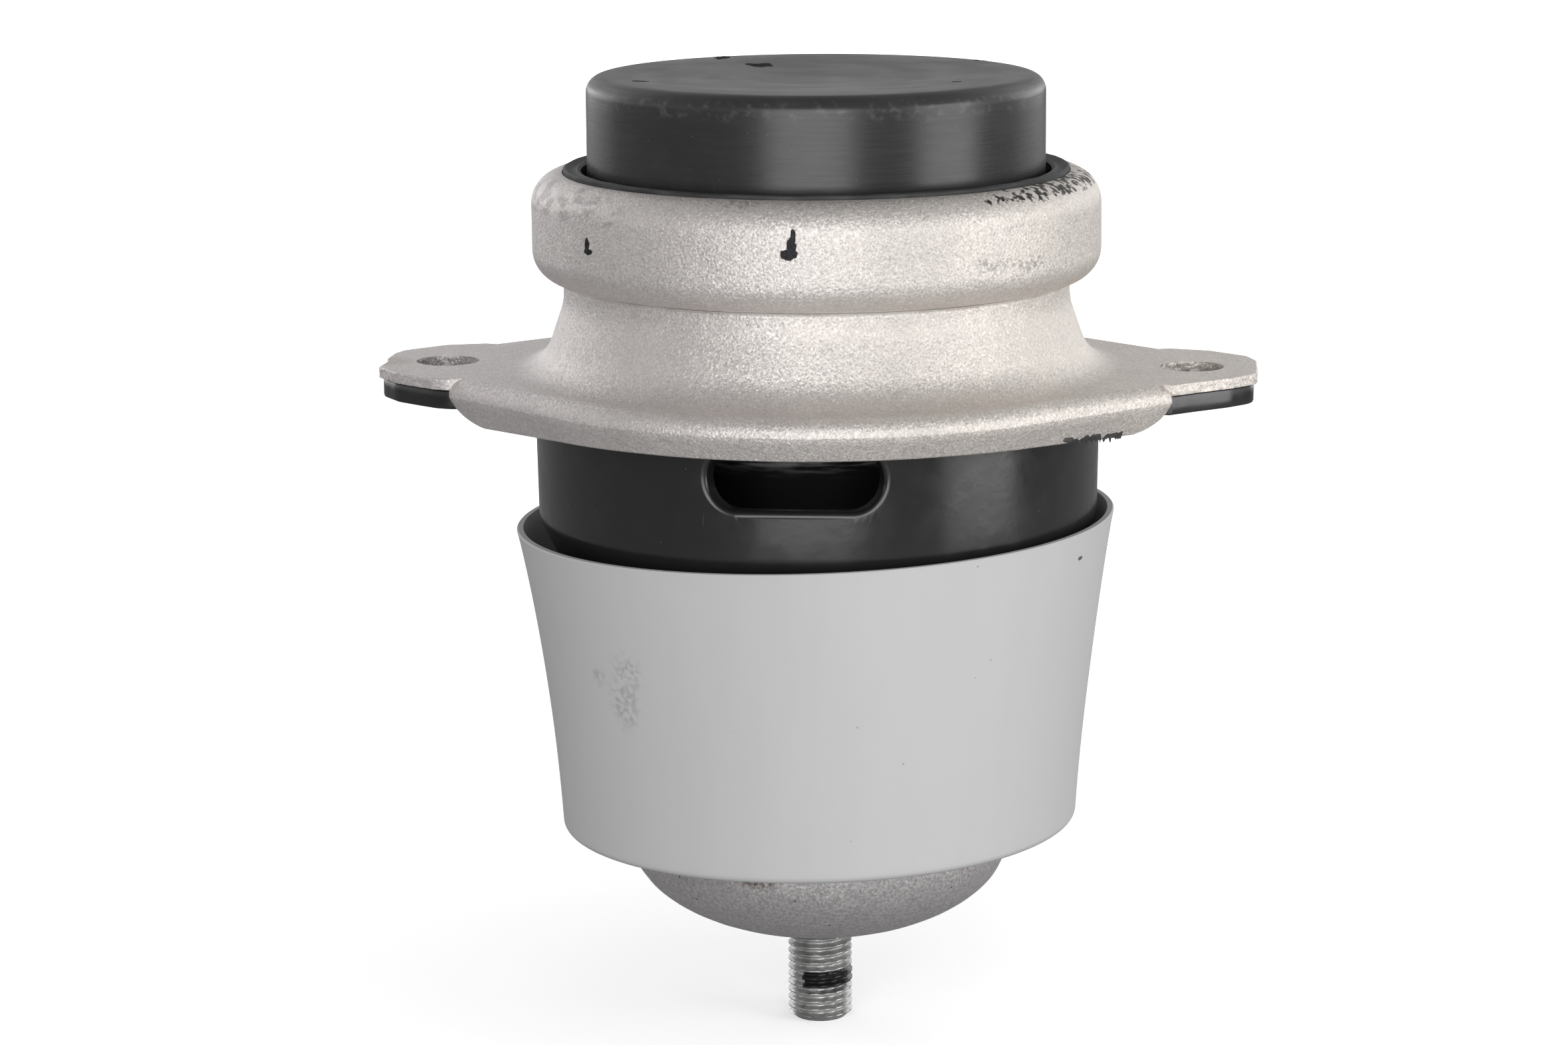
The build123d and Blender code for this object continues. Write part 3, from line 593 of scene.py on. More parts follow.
def make_housing_shell(finish):
    """Pressed shell: crimped bulge, neck, flange with rolled lip, and two sheared ears with holes."""
    angles, is_ear = shell_angles()
    lip_reach = radius_at(flange_outline(0), angles)
    reach = np.where(is_ear, ear_radius(0, angles, EAR_ROUND), lip_reach)
    depth = lip_depth(angles, lip_reach)

    outer = rounded_line(SHELL_LINE, SHELL_ROUNDS, longest=3.0)
    inner = inner_line(SHELL_LINE, SHELL_ROUNDS, SHELL_SHEET, 3.0)
    start = [(outer[0][0] + 0.02, outer[0][1] - 0.3), (outer[0][0] + 0.3, outer[0][1])]
    outer_rows = lathe_rows([*start, *outer[1:]], angles)
    inner_rows = lathe_rows(inner, angles)

    edge = np.empty((len(ear_section(FLANGE_RADIUS)), len(angles), 2))
    for column in range(len(angles)):
        if is_ear[column]:
            edge[:, column] = ear_section(reach[column])
        else:
            edge[:, column] = lip_section(reach[column], depth[column])
    flat_start = SHELL_LINE[-1][0]
    top_flat = blend_rows(flat_start, edge[0], 0.0, 7)
    under_flat = blend_rows(flat_start, edge[-1], -SHELL_SHEET, 5)[::-1]
    polar = np.concatenate([top_flat, edge, under_flat])
    rows = np.empty((len(polar), len(angles), 3))
    rows[:, :, 0] = polar[:, :, 0] * np.cos(angles)
    rows[:, :, 1] = polar[:, :, 0] * np.sin(angles)
    rows[:, :, 2] = polar[:, :, 1]

    roughen(outer_rows, *SHELL_UNEVEN)
    last_shear = len(top_flat) + EAR_EDGE_POINTS + EAR_SHEAR_POINTS + 1
    sheared = slice(last_shear - SHEARED_ROWS, last_shear)
    shear = rows[sheared][:, is_ear]
    roughen(shear, *SHEAR_UNEVEN)
    rows[sheared, is_ear] = shear
    piece = ring_piece("housing_shell_sheet", np.concatenate([outer_rows, rows, inner_rows]), finish)
    for side in (1, -1):
        cut(piece, ragged_drill(side * BOLT_OFFSET, side))
    return piece


def blend_rows(start, edge, height, count):
    """Rows between a fixed radius and the first or last row of an edge, evenly spread."""
    share = np.linspace(0, 1, count, endpoint=False)[1:]
    rows = np.empty((count - 1, edge.shape[0], 2))
    rows[:, :, 0] = start + share[:, None] * (edge[:, 0] - start)
    rows[:, :, 1] = height
    return rows


def ragged_drill(x, seed):
    """Cutter for one bolt hole, slightly torn along its wall."""
    angles = full_turn(120)
    heights = np.linspace(DRILL_PAST, -SHELL_SHEET - DRILL_PAST, 17)
    rows = lathe_rows([(BOLT_HOLE_RADIUS, z) for z in heights], angles)
    size, amount, first_seed = HOLE_UNEVEN
    roughen(rows, size, amount, first_seed + seed)
    rows = np.concatenate([rows[:1] * (0, 0, 1), rows, rows[-1:] * (0, 0, 1)])
    rows[:, :, 0] += x
    return ring_piece("drill", rows, None, closed=False)


# Travel limiter can


def make_can(finish):
    """Pressed can with its plate and ears, slots front and back, waist and open floor."""
    angles = polar_angles(CAN_EAR_SPREAD, 0.7, 1.5)
    round_reach = radius_at(flange_outline(CAN_PLATE_INSET), angles)
    ear_reach = ear_radius(CAN_EAR_INSET, angles, CAN_EAR_ROUND)
    y = np.abs(ear_reach * np.sin(angles))
    reach = np.where((ear_reach > 0) & (y < LIP_GAP_HALF - CAN_EAR_INSET), ear_reach, round_reach)

    outer = rounded_line(CAN_LINE, CAN_ROUNDS, longest=3.0)
    inner = inner_line(CAN_LINE, CAN_ROUNDS, CAN_SHEET, 3.0)
    foot = eased([outer[-1], outer[-1] + (0, CAN_SHEET)], CAN_FOOT_EASE)
    body_rows = lathe_rows([*outer[:-1], *foot, *inner[1:]], angles)
    top, bottom, ease = CAN_PLATE_TOP, CAN_PLATE_TOP - CAN_SHEET, CAN_EDGE_ROUND
    edge = [
        (ease * 2, top), (ease, top), (ease * 0.3, top - ease * 0.3), (0, top - ease),
        (0, bottom + ease), (ease * 0.3, bottom + ease * 0.3), (ease, bottom), (ease * 2, bottom),
    ]
    rows = np.array([ring_row(reach - inset, angles, z) for inset, z in edge])
    piece = ring_piece("limiter_can_sheet", np.concatenate([body_rows, rows]), finish)
    for side in (-1, 1):
        cut(piece, slot_cutter(side))
    return piece


def wall_radius(height):
    """Radius of the can's drafted outer wall at a height."""
    (top_radius, top), (low_radius, low) = CAN_LINE[1:3]
    return low_radius + (top_radius - low_radius) * (height - low) / (top - low)


def slot_cutter(side):
    """Cutter for one slot, flared where it leaves the can so that the slot's rim is rounded."""
    wall = CAN_LINE[1][0]
    flat, end = SLOT_LENGTH / 2 - SLOT_HEIGHT / 2, SLOT_HEIGHT / 2
    outline = []
    for angle in np.radians(np.arange(-90, 91, 6)):
        outline.append((flat, cos(angle), sin(angle)))
    for angle in np.radians(np.arange(90, 271, 6)):
        outline.append((-flat, cos(angle), sin(angle)))
    depths = [(wall - CAN_SHEET - SLOT_CUTTER_INSIDE, 0.0), (wall - SLOT_ROUND - 0.05, 0.0)]
    for angle in np.radians([10, 20, 30, 40, 50, 60, 70, 80, 87]):
        depths.append((wall - SLOT_ROUND + SLOT_ROUND * sin(angle), SLOT_ROUND * (1 - cos(angle))))
    depths.append((wall + SLOT_CUTTER_OUTSIDE, SLOT_ROUND * SLOT_CUTTER_FLARE))
    rows = []
    for radius, flare in depths:
        ring = []
        for middle, across, up in outline:
            turn = (middle + (end + flare - SLOT_ROUND / 2) * across) / wall
            height = SLOT_MIDDLE + (end + flare - SLOT_ROUND / 2) * up
            here = radius - wall + wall_radius(height)
            ring.append((here * sin(turn), side * here * cos(turn), height))
        rows.append(ring)
    return ring_piece("slot_cutter", capped(rows), None, closed=False)


# Cover, seal, boot and nose


def make_cover(finish):
    """Drawn cup with a dished top."""
    section = sheet_section(COVER_LINE, COVER_ROUNDS, COVER_SHEET, longest=2.5)
    section[0] = np.array((0.0, section[0][1]))
    section[-1] = np.array((0.0, section[-1][1]))
    rows = lathe_rows(section, full_turn(240))
    return ring_piece("cover_cup", rows, finish, closed=False)


def make_cover_chips(finish):
    """Bare dark pits where the cover's coat has chipped off its top: thin, ragged and let into it."""
    heights = rounded_line(COVER_LINE[:5], COVER_ROUNDS[:3])
    heights = [point for point in heights if point[1] > COVER_LINE[0][1] - 0.5]
    points, faces = [], []
    count = CHIP_POINTS

    def add(x, y, below):
        top = np.interp(hypot(x, y), [p[0] for p in heights], [p[1] for p in heights])
        points.append((x, y, top + CHIP_PROUD - below))

    for index, (x, y, wide, deep) in enumerate(COVER_CHIPS):
        start = len(points)
        add(x, y, 0.0)
        for below in (0.0, CHIP_DEPTH):
            for turn in full_turn(count):
                ragged = 1 + CHIP_RAGGED * lump((cos(turn), sin(turn), index), 0.55, 6.0)
                add(x + wide * ragged * cos(turn), y + deep * ragged * sin(turn), below)
        add(x, y, CHIP_DEPTH)
        end = len(points) - 1
        for k in range(count):
            here, after = start + 1 + k, start + 1 + (k + 1) % count
            faces.append((start, here, after))
            faces.append((here, here + count, after + count, after))
            faces.append((end, after + count, here + count))
    return new_piece("cover_chips", points, faces, finish)


def make_seal(finish):
    """Rubber ring between the cover and the crimp, with a slightly wavy rim."""
    section = divided([np.array(p, float) for p in [*SEAL_SECTION, SEAL_SECTION[0]]], 1.5)[:-1]
    rows = lathe_rows(section, full_turn(240))
    for row in rows:
        for point in row:
            if point[2] > SHELL_LINE[0][1] - 0.2:
                point[2] += SEAL_WAVE * lump(point, SEAL_WAVE_LENGTH, 2.0)
    return ring_piece("cover_seal", rows, finish)


def boot_point(outside, share):
    """Point of the circle through three points, from the first at share 0 to the last at share 1."""
    (x1, y1), (x2, y2), (x3, y3) = outside
    slope = np.array([[x2 - x1, y2 - y1], [x3 - x1, y3 - y1]]) * 2
    sums = np.array([x2**2 + y2**2 - x1**2 - y1**2, x3**2 + y3**2 - x1**2 - y1**2])
    centre = np.linalg.solve(slope, sums)
    radius = hypot(x1 - centre[0], y1 - centre[1])
    first, last = (atan2(y - centre[1], x - centre[0]) % (2 * pi) for x, y in (outside[0], outside[-1]))
    angle = first + (last - first) * share
    return centre + radius * np.array((cos(angle), sin(angle)))


def make_boot(finish):
    """Moulded boot: thin flared cup, thinnest half-way down, its foot and rim lower on one side."""
    outside = [boot_point(BOOT_OUTSIDE, share) for share in np.linspace(0, 1, 24)]
    floor_top = NOSE_TOP + BOOT_FLOOR
    thinner = BOOT_THINNER * np.sin(np.linspace(0, pi, len(outside)))
    walls = zip(outside, BOOT_WALL - thinner)
    inside = [point - (wall, 0) for point, wall in walls if point[1] > floor_top + 1]
    rim_out, rim_in = outside[0], inside[0]
    rim = [rim_in + (0, -0.35), rim_in + (0.2, 0), rim_out - (0.25, 0), rim_out - (0, 0.3)]
    foot = arc_corner(outside[-2], outside[-1], (BORE_RADIUS, NOSE_TOP), BOOT_FOOT_ROUND, 12.0)
    flat = BOOT_FLOOR_FLAT
    floor = [(flat, NOSE_TOP), (BORE_RADIUS, NOSE_TOP), (BORE_RADIUS, floor_top), (flat, floor_top)]
    inner_foot = (BOOT_OUTSIDE[-1][0] - BOOT_WALL, floor_top)
    section = [*rim, *outside[1:-1], *foot, *floor, inner_foot, *inside[:0:-1]]
    rows = lathe_rows(section, full_turn(240))
    roughen(rows, *BOOT_UNEVEN)
    lean_boot(rows)
    return ring_piece("boot_moulding", rows, finish)


def lean_boot(rows):
    """Tilts the boot's wall about Y, more at the rim than at the foot, with its floor left level."""
    share = np.clip((rows[:, :, 2] - NOSE_TOP) / BOOT_HEIGHT, 0, 1)
    radius = np.hypot(rows[:, :, 0], rows[:, :, 1])
    wall = np.clip((radius - BOOT_LEAN_FROM) / BOOT_LEAN_RUN, 0, 1)
    wall = wall**2 * (3 - 2 * wall)
    slope = tan(radians(BOOT_FOOT_LEAN)) * (1 - share) + tan(radians(BOOT_RIM_LEAN)) * share
    rows[:, :, 2] += rows[:, :, 0] * slope * wall
    rows[:, :, 0] -= BOOT_SHIFT * share**3


def make_nose(finish):
    """Cast dome, uneven like a casting, with the bore for the stud."""
    section = [(BORE_RADIUS, NOSE_TOP), (20.0, NOSE_TOP), (NOSE_RADIUS - NOSE_EDGE_ROUND, NOSE_TOP)]
    section.append((NOSE_RADIUS, NOSE_TOP - NOSE_EDGE_ROUND))
    flat_angle = np.arccos(NOSE_FLAT_RADIUS / NOSE_RADIUS)
    for angle in np.linspace(0, flat_angle, 40):
        section.append((NOSE_RADIUS * cos(angle), NOSE_CROWN - NOSE_DEPTH * sin(angle)))
    section.append((BORE_RADIUS, NOSE_CROWN - NOSE_DEPTH * sin(flat_angle)))
    rows = lathe_rows(section, full_turn(240))
    roughen(rows, *NOSE_UNEVEN, chosen=range(3, len(section) - 1))
    return ring_piece("nose_casting", rows, finish)


def thread_radius(phase):
    """Radius of the thread at a share of one pitch: rounded root, straight flanks, flat crest."""
    away = np.abs((phase % 1.0) - 0.5) * 2
    return STUD_RADIUS - THREAD_DEPTH * np.clip((away - THREAD_CREST_SHARE) / THREAD_FLANK_SHARE, 0, 1)


def make_stud(finish):
    """Stud with its real helical thread below the nose and a plain shank inside it."""
    angles = full_turn(96)
    thread_top = NOSE_CROWN - NOSE_DEPTH + 1.5
    heights = np.arange(STUD_END, thread_top, THREAD_STEP)
    rows = []
    for z in heights:
        phase = z / THREAD_PITCH - angles / (2 * pi)
        limit = STUD_RADIUS - STUD_CHAMFER + (z - STUD_END) * STUD_END_SLOPE
        rows.append(ring_row(np.minimum(thread_radius(phase), limit), angles, z))
    shank_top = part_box("stud")[1].z / MM
    shank = [(STUD_RADIUS, heights[-1] + 0.3), (STUD_RADIUS, shank_top), (0.0, shank_top)]
    end = lathe_rows([(0.0, STUD_END + 0.15), (STUD_RADIUS - STUD_CHAMFER - 0.6, STUD_END + 0.1)], angles)
    rows = np.concatenate([end, np.array(rows), lathe_rows(shank, angles)])
    return ring_piece("threaded_stud", rows, finish, closed=False)


def make_patch(finish):
    """Film of cured adhesive over two threads, thin at its torn ends."""
    columns = 110
    start, end = (radians(turn) for turn in PATCH_ENDS)
    turns = np.linspace(start, end, columns)
    heights = np.arange(PATCH_BOTTOM, PATCH_TOP, THREAD_STEP)
    skin, back = [], []
    for z in heights:
        phase = z / THREAD_PITCH - turns / (2 * pi)
        thread = thread_radius(phase)
        film = 0.75 * thread + 0.25 * STUD_RADIUS + PATCH_SKIN
        fade = np.array([patch_cover(turn, z, start, end) for turn in turns])
        outer = np.minimum(thread - 0.05 + (film - thread + 0.05) * fade, STUD_RADIUS + 0.06)
        skin.append(ring_row(outer, turns, z))
        back.append(ring_row(thread - 0.12, turns, z))
    sheet = np.concatenate([np.array(skin), np.array(back)[::-1]])
    count = len(sheet)
    faces = []
    for row in range(count):
        here, there = row * columns, (row + 1) % count * columns
        faces.extend((here + k, there + k, there + k + 1, here + k + 1) for k in range(columns - 1))
    half = count // 2
    for column in (0, columns - 1):
        for row in range(half - 1):
            pair = (row, row + 1, count - 2 - row, count - 1 - row)
            faces.append(tuple(index * columns + column for index in pair))
    piece = new_piece("adhesive_patch", sheet.reshape(-1, 3), faces, finish)
    weld(piece)
    return piece


def patch_cover(turn, z, start, end):
    """1 where the adhesive covers the thread and 0 past its ragged edges."""
    edge = PATCH_RAGGED * lump((turn * 4, z, 0), 1.0, 4.0)
    from_ends = min(turn - start, end - turn) * STUD_RADIUS + edge - PATCH_END_MARGIN
    from_sides = min(z - PATCH_BOTTOM, PATCH_TOP - z) + edge - PATCH_SIDE_MARGIN
    return float(np.clip(min(from_ends, from_sides) / PATCH_FADE, 0, 1))


def make_spring(finish):
    """Rubber spring between the housing and the core, with the skin that it leaves on the core."""
    belly, hollow = (
        [boot_point(arc, share) for share in np.linspace(0, 1, 16)] for arc in (SPRING_BELLY, SPRING_HOLLOW)
    )
    corners = [*belly, *SPRING_SKIN, *hollow, SPRING_FOOT, belly[0]]
    line = divided([np.array(p, float) for p in corners], 3.0)[:-1]
    return ring_piece("spring_rubber", lathe_rows(line, full_turn(160)), finish)


def make_torn_flash(finish):
    """Torn rubber left along the foot of the lip at the front right, ragged at its lower edge."""
    turns = np.radians(np.linspace(*FLASH_ENDS, 150))
    reach = radius_at(flange_outline(LIP_TURN), turns)
    rows = []
    for step, (turn, radius) in enumerate(zip(turns, reach)):
        share = step / (len(turns) - 1)
        ends = min(share, 1 - share) * 10
        hang = 0.55 + 0.7 * abs(lump((step, 0, 0), 11.0, 3.0)) + 1.0 * max(0.0, lump((step, 0, 0), 4.5, 9.0))
        hang *= min(1.0, ends) * (0.6 + 0.9 * share)
        out = 0.35 * lump((step, 4, 0), 9.0, 5.0) - 0.1
        half, tip, foot = FLASH_HALF, FLASH_TIP_HALF, FLASH_FOOT
        ring = []
        for across, z in (
            (-half, FLASH_TOP), (half, FLASH_TOP), (half, foot + 0.05), (tip, foot - hang),
            (-tip, foot - hang), (-half, foot + 0.05),
        ):
            there = radius + out + across
            ring.append((there * cos(turn), there * sin(turn), z))
        rows.append(ring)
    return ring_piece("torn_flash", capped(rows), finish, closed=False)


# Finishes


class Nodes:
    """A node tree, with a short call for each kind of node."""

    def __init__(self, tree):
        self.tree = tree

    def node(self, kind, **settings):
        made = self.tree.nodes.new(kind)
        for key, value in settings.items():
            setattr(made, key, value)
        return made

    def feed(self, socket, value):
        """Links an output to a socket, or sets a plain value on it."""
        if isinstance(value, bpy.types.NodeSocket):
            self.tree.links.new(value, socket)
        else:
            socket.default_value = value

    def place_from(self, name):
        """Texture coordinates of one kind."""
        return self.node("ShaderNodeTexCoord").outputs[name]

    def vector(self, operation, a, b=None):
        made = self.node("ShaderNodeVectorMath", operation=operation)
        self.feed(made.inputs[0], a)
        if b is not None:
            self.feed(made.inputs[1], b)
        return made.outputs["Value" if operation in ("LENGTH", "DOT_PRODUCT") else "Vector"]

    def math(self, operation, a, b, clamp=False):
        made = self.node("ShaderNodeMath", operation=operation, use_clamp=clamp)
        self.feed(made.inputs[0], a)
        self.feed(made.inputs[1], b)
        return made.outputs["Value"]

    def times(self, a, b):
        return self.math("MULTIPLY", a, b)

    def part(self, vector, axis):
        """One coordinate of a vector."""
        split = self.node("ShaderNodeSeparateXYZ")
        self.feed(split.inputs[0], vector)
        return split.outputs[axis]

    def ranged(self, value, source, target, **settings):
        """Value mapped from one range to another and held at its ends."""
        made = self.node("ShaderNodeMapRange", **settings)
        for socket, number in zip(("From Min", "From Max", "To Min", "To Max"), (*source, *target)):
            made.inputs[socket].default_value = number
        self.feed(made.inputs["Value"], value)
        return made.outputs["Result"]

    def mix(self, factor, a, b, data_type="RGBA"):
        """Colour between two others, or number between two others."""
        made = self.node("ShaderNodeMix", data_type=data_type)
        self.feed(made.inputs["Factor"], factor)
        for socket, value in (("A", a), ("B", b)):
            self.feed(made.inputs[socket], (*value, 1.0) if isinstance(value, tuple) else value)
        return made.outputs["Result"]


class Finish(Nodes):
    """One procedural material, with calls for what lies on the object and for what its shader takes."""

    def __init__(self, name, color, roughness, metallic=0.0, specular=0.5):
        self.material = bpy.data.materials.new(name)
        self.material.use_nodes = True
        super().__init__(self.material.node_tree)
        self.shader = self.tree.nodes["Principled BSDF"]
        self.shader.inputs["Base Color"].default_value = (*color, 1.0)
        self.shader.inputs["Roughness"].default_value = roughness
        self.shader.inputs["Metallic"].default_value = metallic
        self.shader.inputs["Specular IOR Level"].default_value = specular
        self.place = self.place_from("Object")
        self.normal = None

    def noise(self, size, detail=2.0, stretch=(1, 1, 1), distortion=0.0):
        """Noise with features about as wide as the size in millimetres."""
        place = self.vector("MULTIPLY", self.place, tuple(1 / s for s in stretch))
        made = self.node("ShaderNodeTexNoise")
        self.feed(made.inputs["Vector"], place)
        made.inputs["Scale"].default_value = 1 / (size * MM)
        made.inputs["Detail"].default_value = detail
        made.inputs["Distortion"].default_value = distortion
        return made.outputs["Fac"]

    def patches(self, size, detail, low, high, stretch=(1, 1, 1), distortion=0.0):
        """Noise cut off below one level and above another, which leaves patches."""
        return self.span(self.noise(size, detail, stretch, distortion), low, high)

    def cells(self, size, output="Distance"):
        """Random points about a size apart: distance to the nearest one, or a random colour of its own."""
        made = self.node("ShaderNodeTexVoronoi")
        self.feed(made.inputs["Vector"], self.place)
        made.inputs["Scale"].default_value = 1 / (size * MM)
        return made.outputs[output]

    def span(self, value, low, high, to_low=0.0, to_high=1.0):
        """Value mapped smoothly from one range to another and held at its ends."""
        return self.ranged(value, (low, high), (to_low, to_high), interpolation_type="SMOOTHSTEP")

    def between(self, axis, low, high, soft):
        """1 where a coordinate in millimetres is between two values and 0 outside them."""
        value = self.part(self.place, axis)
        rise = self.span(value, (low - soft) * MM, (low + soft) * MM)
        return self.times(rise, self.span(value, (high - soft) * MM, (high + soft) * MM, 1.0, 0.0))

    def along(self, direction, low, high):
        """Rises from 0 to 1 between two distances in millimetres along a direction from the axis."""
        return self.span(self.vector("DOT_PRODUCT", self.place, direction), low * MM, high * MM)

    def spot(self, centre, radii, ragged=0.3, grain=1.2, soft=0.15):
        """1 inside a ragged ellipsoid about a point and 0 outside it."""
        away = self.vector("SUBTRACT", self.place, tuple(c * MM for c in centre))
        away = self.vector("DIVIDE", away, tuple(r * MM for r in radii))
        length = self.vector("LENGTH", away)
        length = self.math("ADD", length, self.times(self.noise(grain, 3.0), ragged * 2))
        return self.span(length, 1 + ragged - soft, 1 + ragged + soft, 1.0, 0.0)

    def spots(self, places, **look):
        """All of several spots, each a centre and its radii."""
        total = None
        for centre, radii in places:
            here = self.spot(centre, radii, **look)
            total = here if total is None else self.math("MAXIMUM", total, here)
        return total

    def dust(self, color, size, reach, share, level):
        """A colour with pale specks on it, about one in each cell of the size."""
        speck = self.times(self.span(self.cells(size), reach, 0.02), share)
        return self.mix(speck, color, grey(level))

    def color(self, value):
        self.feed(self.shader.inputs["Base Color"], value)

    def roughness(self, value):
        self.feed(self.shader.inputs["Roughness"], value)

    def bump(self, height, depth, invert=False):
        """Adds relief whose full height is the depth in millimetres."""
        made = self.node("ShaderNodeBump", invert=invert)
        made.inputs["Strength"].default_value = 1.0
        made.inputs["Distance"].default_value = depth * MM
        self.feed(made.inputs["Height"], height)
        if self.normal is not None:
            self.feed(made.inputs["Normal"], self.normal)
        self.normal = made.outputs["Normal"]
        self.feed(self.shader.inputs["Normal"], self.normal)

    def flecks(self, size, tilt):
        """Turns the surface a little at random in each small cell, so that it glitters."""
        lean = self.vector("SUBTRACT", self.cells(size, "Color"), grey(0.5))
        lean = self.vector("MULTIPLY", lean, grey(tilt))
        self.normal = self.vector("NORMALIZE", self.vector("ADD", self.normal, lean))
        self.feed(self.shader.inputs["Normal"], self.normal)


def grey(level):
    """The same number three times, as a colour or a vector."""
    return (level, level, level)


def blasted_steel():
    """Shot-blasted bare sheet: fine even grain that glitters, with the scuffs and chips of handling, a
    painted tint of light from cool on the left to warm on the right, painted glints and a painted highlight
    along its crease.
    """
    finish = Finish("blasted_steel", (0.6, 0.58, 0.57), 0.57, metallic=0.8)
    times, noise, patches, span = finish.times, finish.noise, finish.patches, finish.span
    # painted light: the steel's tint turns from cool on the left to warm on the right, as the light falls on
    # it
    light_tint_span = SHELL_LIGHT_TINT_SPAN * MM
    tint = finish.mix(span(finish.part(finish.place, "X"), -light_tint_span, light_tint_span), STEEL_LIT_COOL, STEEL_LIT_WARM)
    tint = finish.mix(times(patches(9.0, 3.0, 0.3, 0.7), 0.22), tint, STEEL_CLOUD)
    # painted glints: random grains of the steel made a little brighter, as if catching the light
    painted_glint = span(finish.cells(0.3, "Color"), 0.1, 0.9, -0.12, 0.12)
    glint_colour = finish.vector("MULTIPLY", tint, grey(1.9))
    tint = finish.mix(finish.math("ADD", painted_glint, 0.08, clamp=True), tint, glint_colour)
    # partly painted highlight where the crease under the bulge catches the light, partly its scratches: a
    # brighter broken band
    crease_highlight_and_scratches = times(finish.between("Z", 15.3, 16.7, 0.25), patches(3.0, 2.0, 0.4, 0.6, (3, 3, 1)))
    tint = finish.mix(times(crease_highlight_and_scratches, 0.6), tint, STEEL_CREASE_HIGHLIGHT_AND_SCRATCH)
    scratch = patches(0.5, 1.0, 0.74, 0.78, (1, 1, 14), 0.6)
    tint = finish.mix(times(scratch, finish.spots(STEEL_SCRATCHED, soft=0.5)), tint, STEEL_SCRATCH)
    speckle = times(finish.spots(STEEL_SPECKLED, soft=0.5), patches(0.7, 2.0, 0.5, 0.58))
    tint = finish.mix(times(speckle, 0.4), tint, grey(0.10))
    rim = times(finish.between("Z", 33.8, 36.5, 0.9), finish.along((0.95, -0.31, 0), 38.0, 50.0))
    smear = finish.math("ADD", noise(1.3, 6.0), times(rim, 0.20))
    tint = finish.mix(times(span(smear, 0.62, 0.70), span(rim, 0.02, 0.3)), tint, STEEL_SMEAR)
    far_rim = times(finish.between("Z", 30.0, 36.5, 0.7), finish.along((-0.87, -0.5, 0), 45.5, 48.5))
    dull = times(far_rim, patches(2.0, 4.0, 0.45, 0.6, (2, 2, 1)))
    tint = finish.mix(times(dull, 0.45), tint, STEEL_DULL)
    chips = finish.spots(STEEL_CHIPS, ragged=0.55, grain=0.9, soft=0.08)
    tint = finish.mix(chips, tint, STEEL_CHIP)
    finish.color(finish.mix(times(finish.spot(*EAR_STAIN, soft=0.5), 0.3), tint, STEEL_STAIN))
    grain = noise(0.5, 2.0)
    finish.roughness(span(grain, 0.3, 0.7, 0.50, 0.64))
    finish.bump(grain, 0.13)
    finish.bump(noise(3.0, 2.0), 0.08)
    finish.bump(chips, 0.25, invert=True)
    finish.flecks(0.28, 0.30)
    return finish.material


def black_coat():
    """Satin dip coat on pressed steel, with dust, orange peel and fine scratches."""
    finish = Finish("black_coat", grey(0.012), 0.2, specular=0.58)
    color = finish.dust(CAN_COAT, 2.6, 0.045, 0.4, 0.35)
    scratch = finish.patches(0.9, 2.0, 0.76, 0.80, (0.5, 0.5, 12), 0.4)
    finish.color(finish.mix(finish.times(scratch, 0.25), color, grey(0.09)))
    finish.roughness(finish.span(finish.noise(5.0, 3.0), 0.3, 0.7, 0.17, 0.27))
    finish.bump(finish.noise(1.6, 2.0), 0.016)
    finish.bump(finish.noise(9.0, 2.0), 0.05)
    finish.bump(scratch, 0.01)
    return finish.material


def cover_coat():
    """Dark coat on the drawn cover, brushed round its wall, with a painted highlight in patches along its
    top edge, and duller on its top.
    """
    finish = Finish("cover_coat", COVER_COAT, 0.34, specular=0.48)
    color = finish.dust(COVER_COAT, 2.0, 0.05, 0.35, 0.4)
    # painted highlight: lighter patches along the cover's rounded top edge
    edge_highlight = finish.times(finish.between("Z", 48.5, 51.5, 0.8), finish.patches(1.5, 4.0, 0.5, 0.7))
    color = finish.mix(finish.times(edge_highlight, 0.3), color, grey(0.12))
    cloud = finish.patches(7.0, 4.0, 0.45, 0.75)
    finish.color(finish.mix(finish.times(cloud, 0.2), color, grey(0.045)))
    brushed = finish.noise(0.35, 2.0, (30, 30, 1))
    side = finish.between("Z", 20.0, 49.0, 1.0)
    dull_top = finish.times(finish.between("Z", 51.3, 60.0, 0.5), 0.2)
    finish.roughness(finish.math("ADD", finish.span(brushed, 0.3, 0.7, 0.26, 0.32), dull_top))
    finish.bump(finish.times(brushed, side), 0.006)
    finish.bump(finish.noise(1.2, 3.0), 0.008)
    return finish.material


def chipped_coat():
    """Dull dark ground where the cover's coat is gone."""
    finish = Finish("chipped_coat", grey(0.006), 0.9, specular=0.1)
    grain = finish.noise(0.4, 3.0)
    finish.color(finish.mix(finish.span(grain, 0.4, 0.7), grey(0.004), grey(0.02)))
    finish.bump(grain, 0.05)
    return finish.material


def black_rubber():
    """Matte moulded rubber with fine scuffs."""
    finish = Finish("black_rubber", (0.028, 0.028, 0.029), 0.62, specular=0.35)
    scuff = finish.patches(1.2, 3.0, 0.4, 0.75, (6, 6, 1))
    finish.color(finish.mix(scuff, RUBBER_DARK, RUBBER_SCUFF))
    finish.bump(finish.noise(0.6, 3.0), 0.03)
    return finish.material


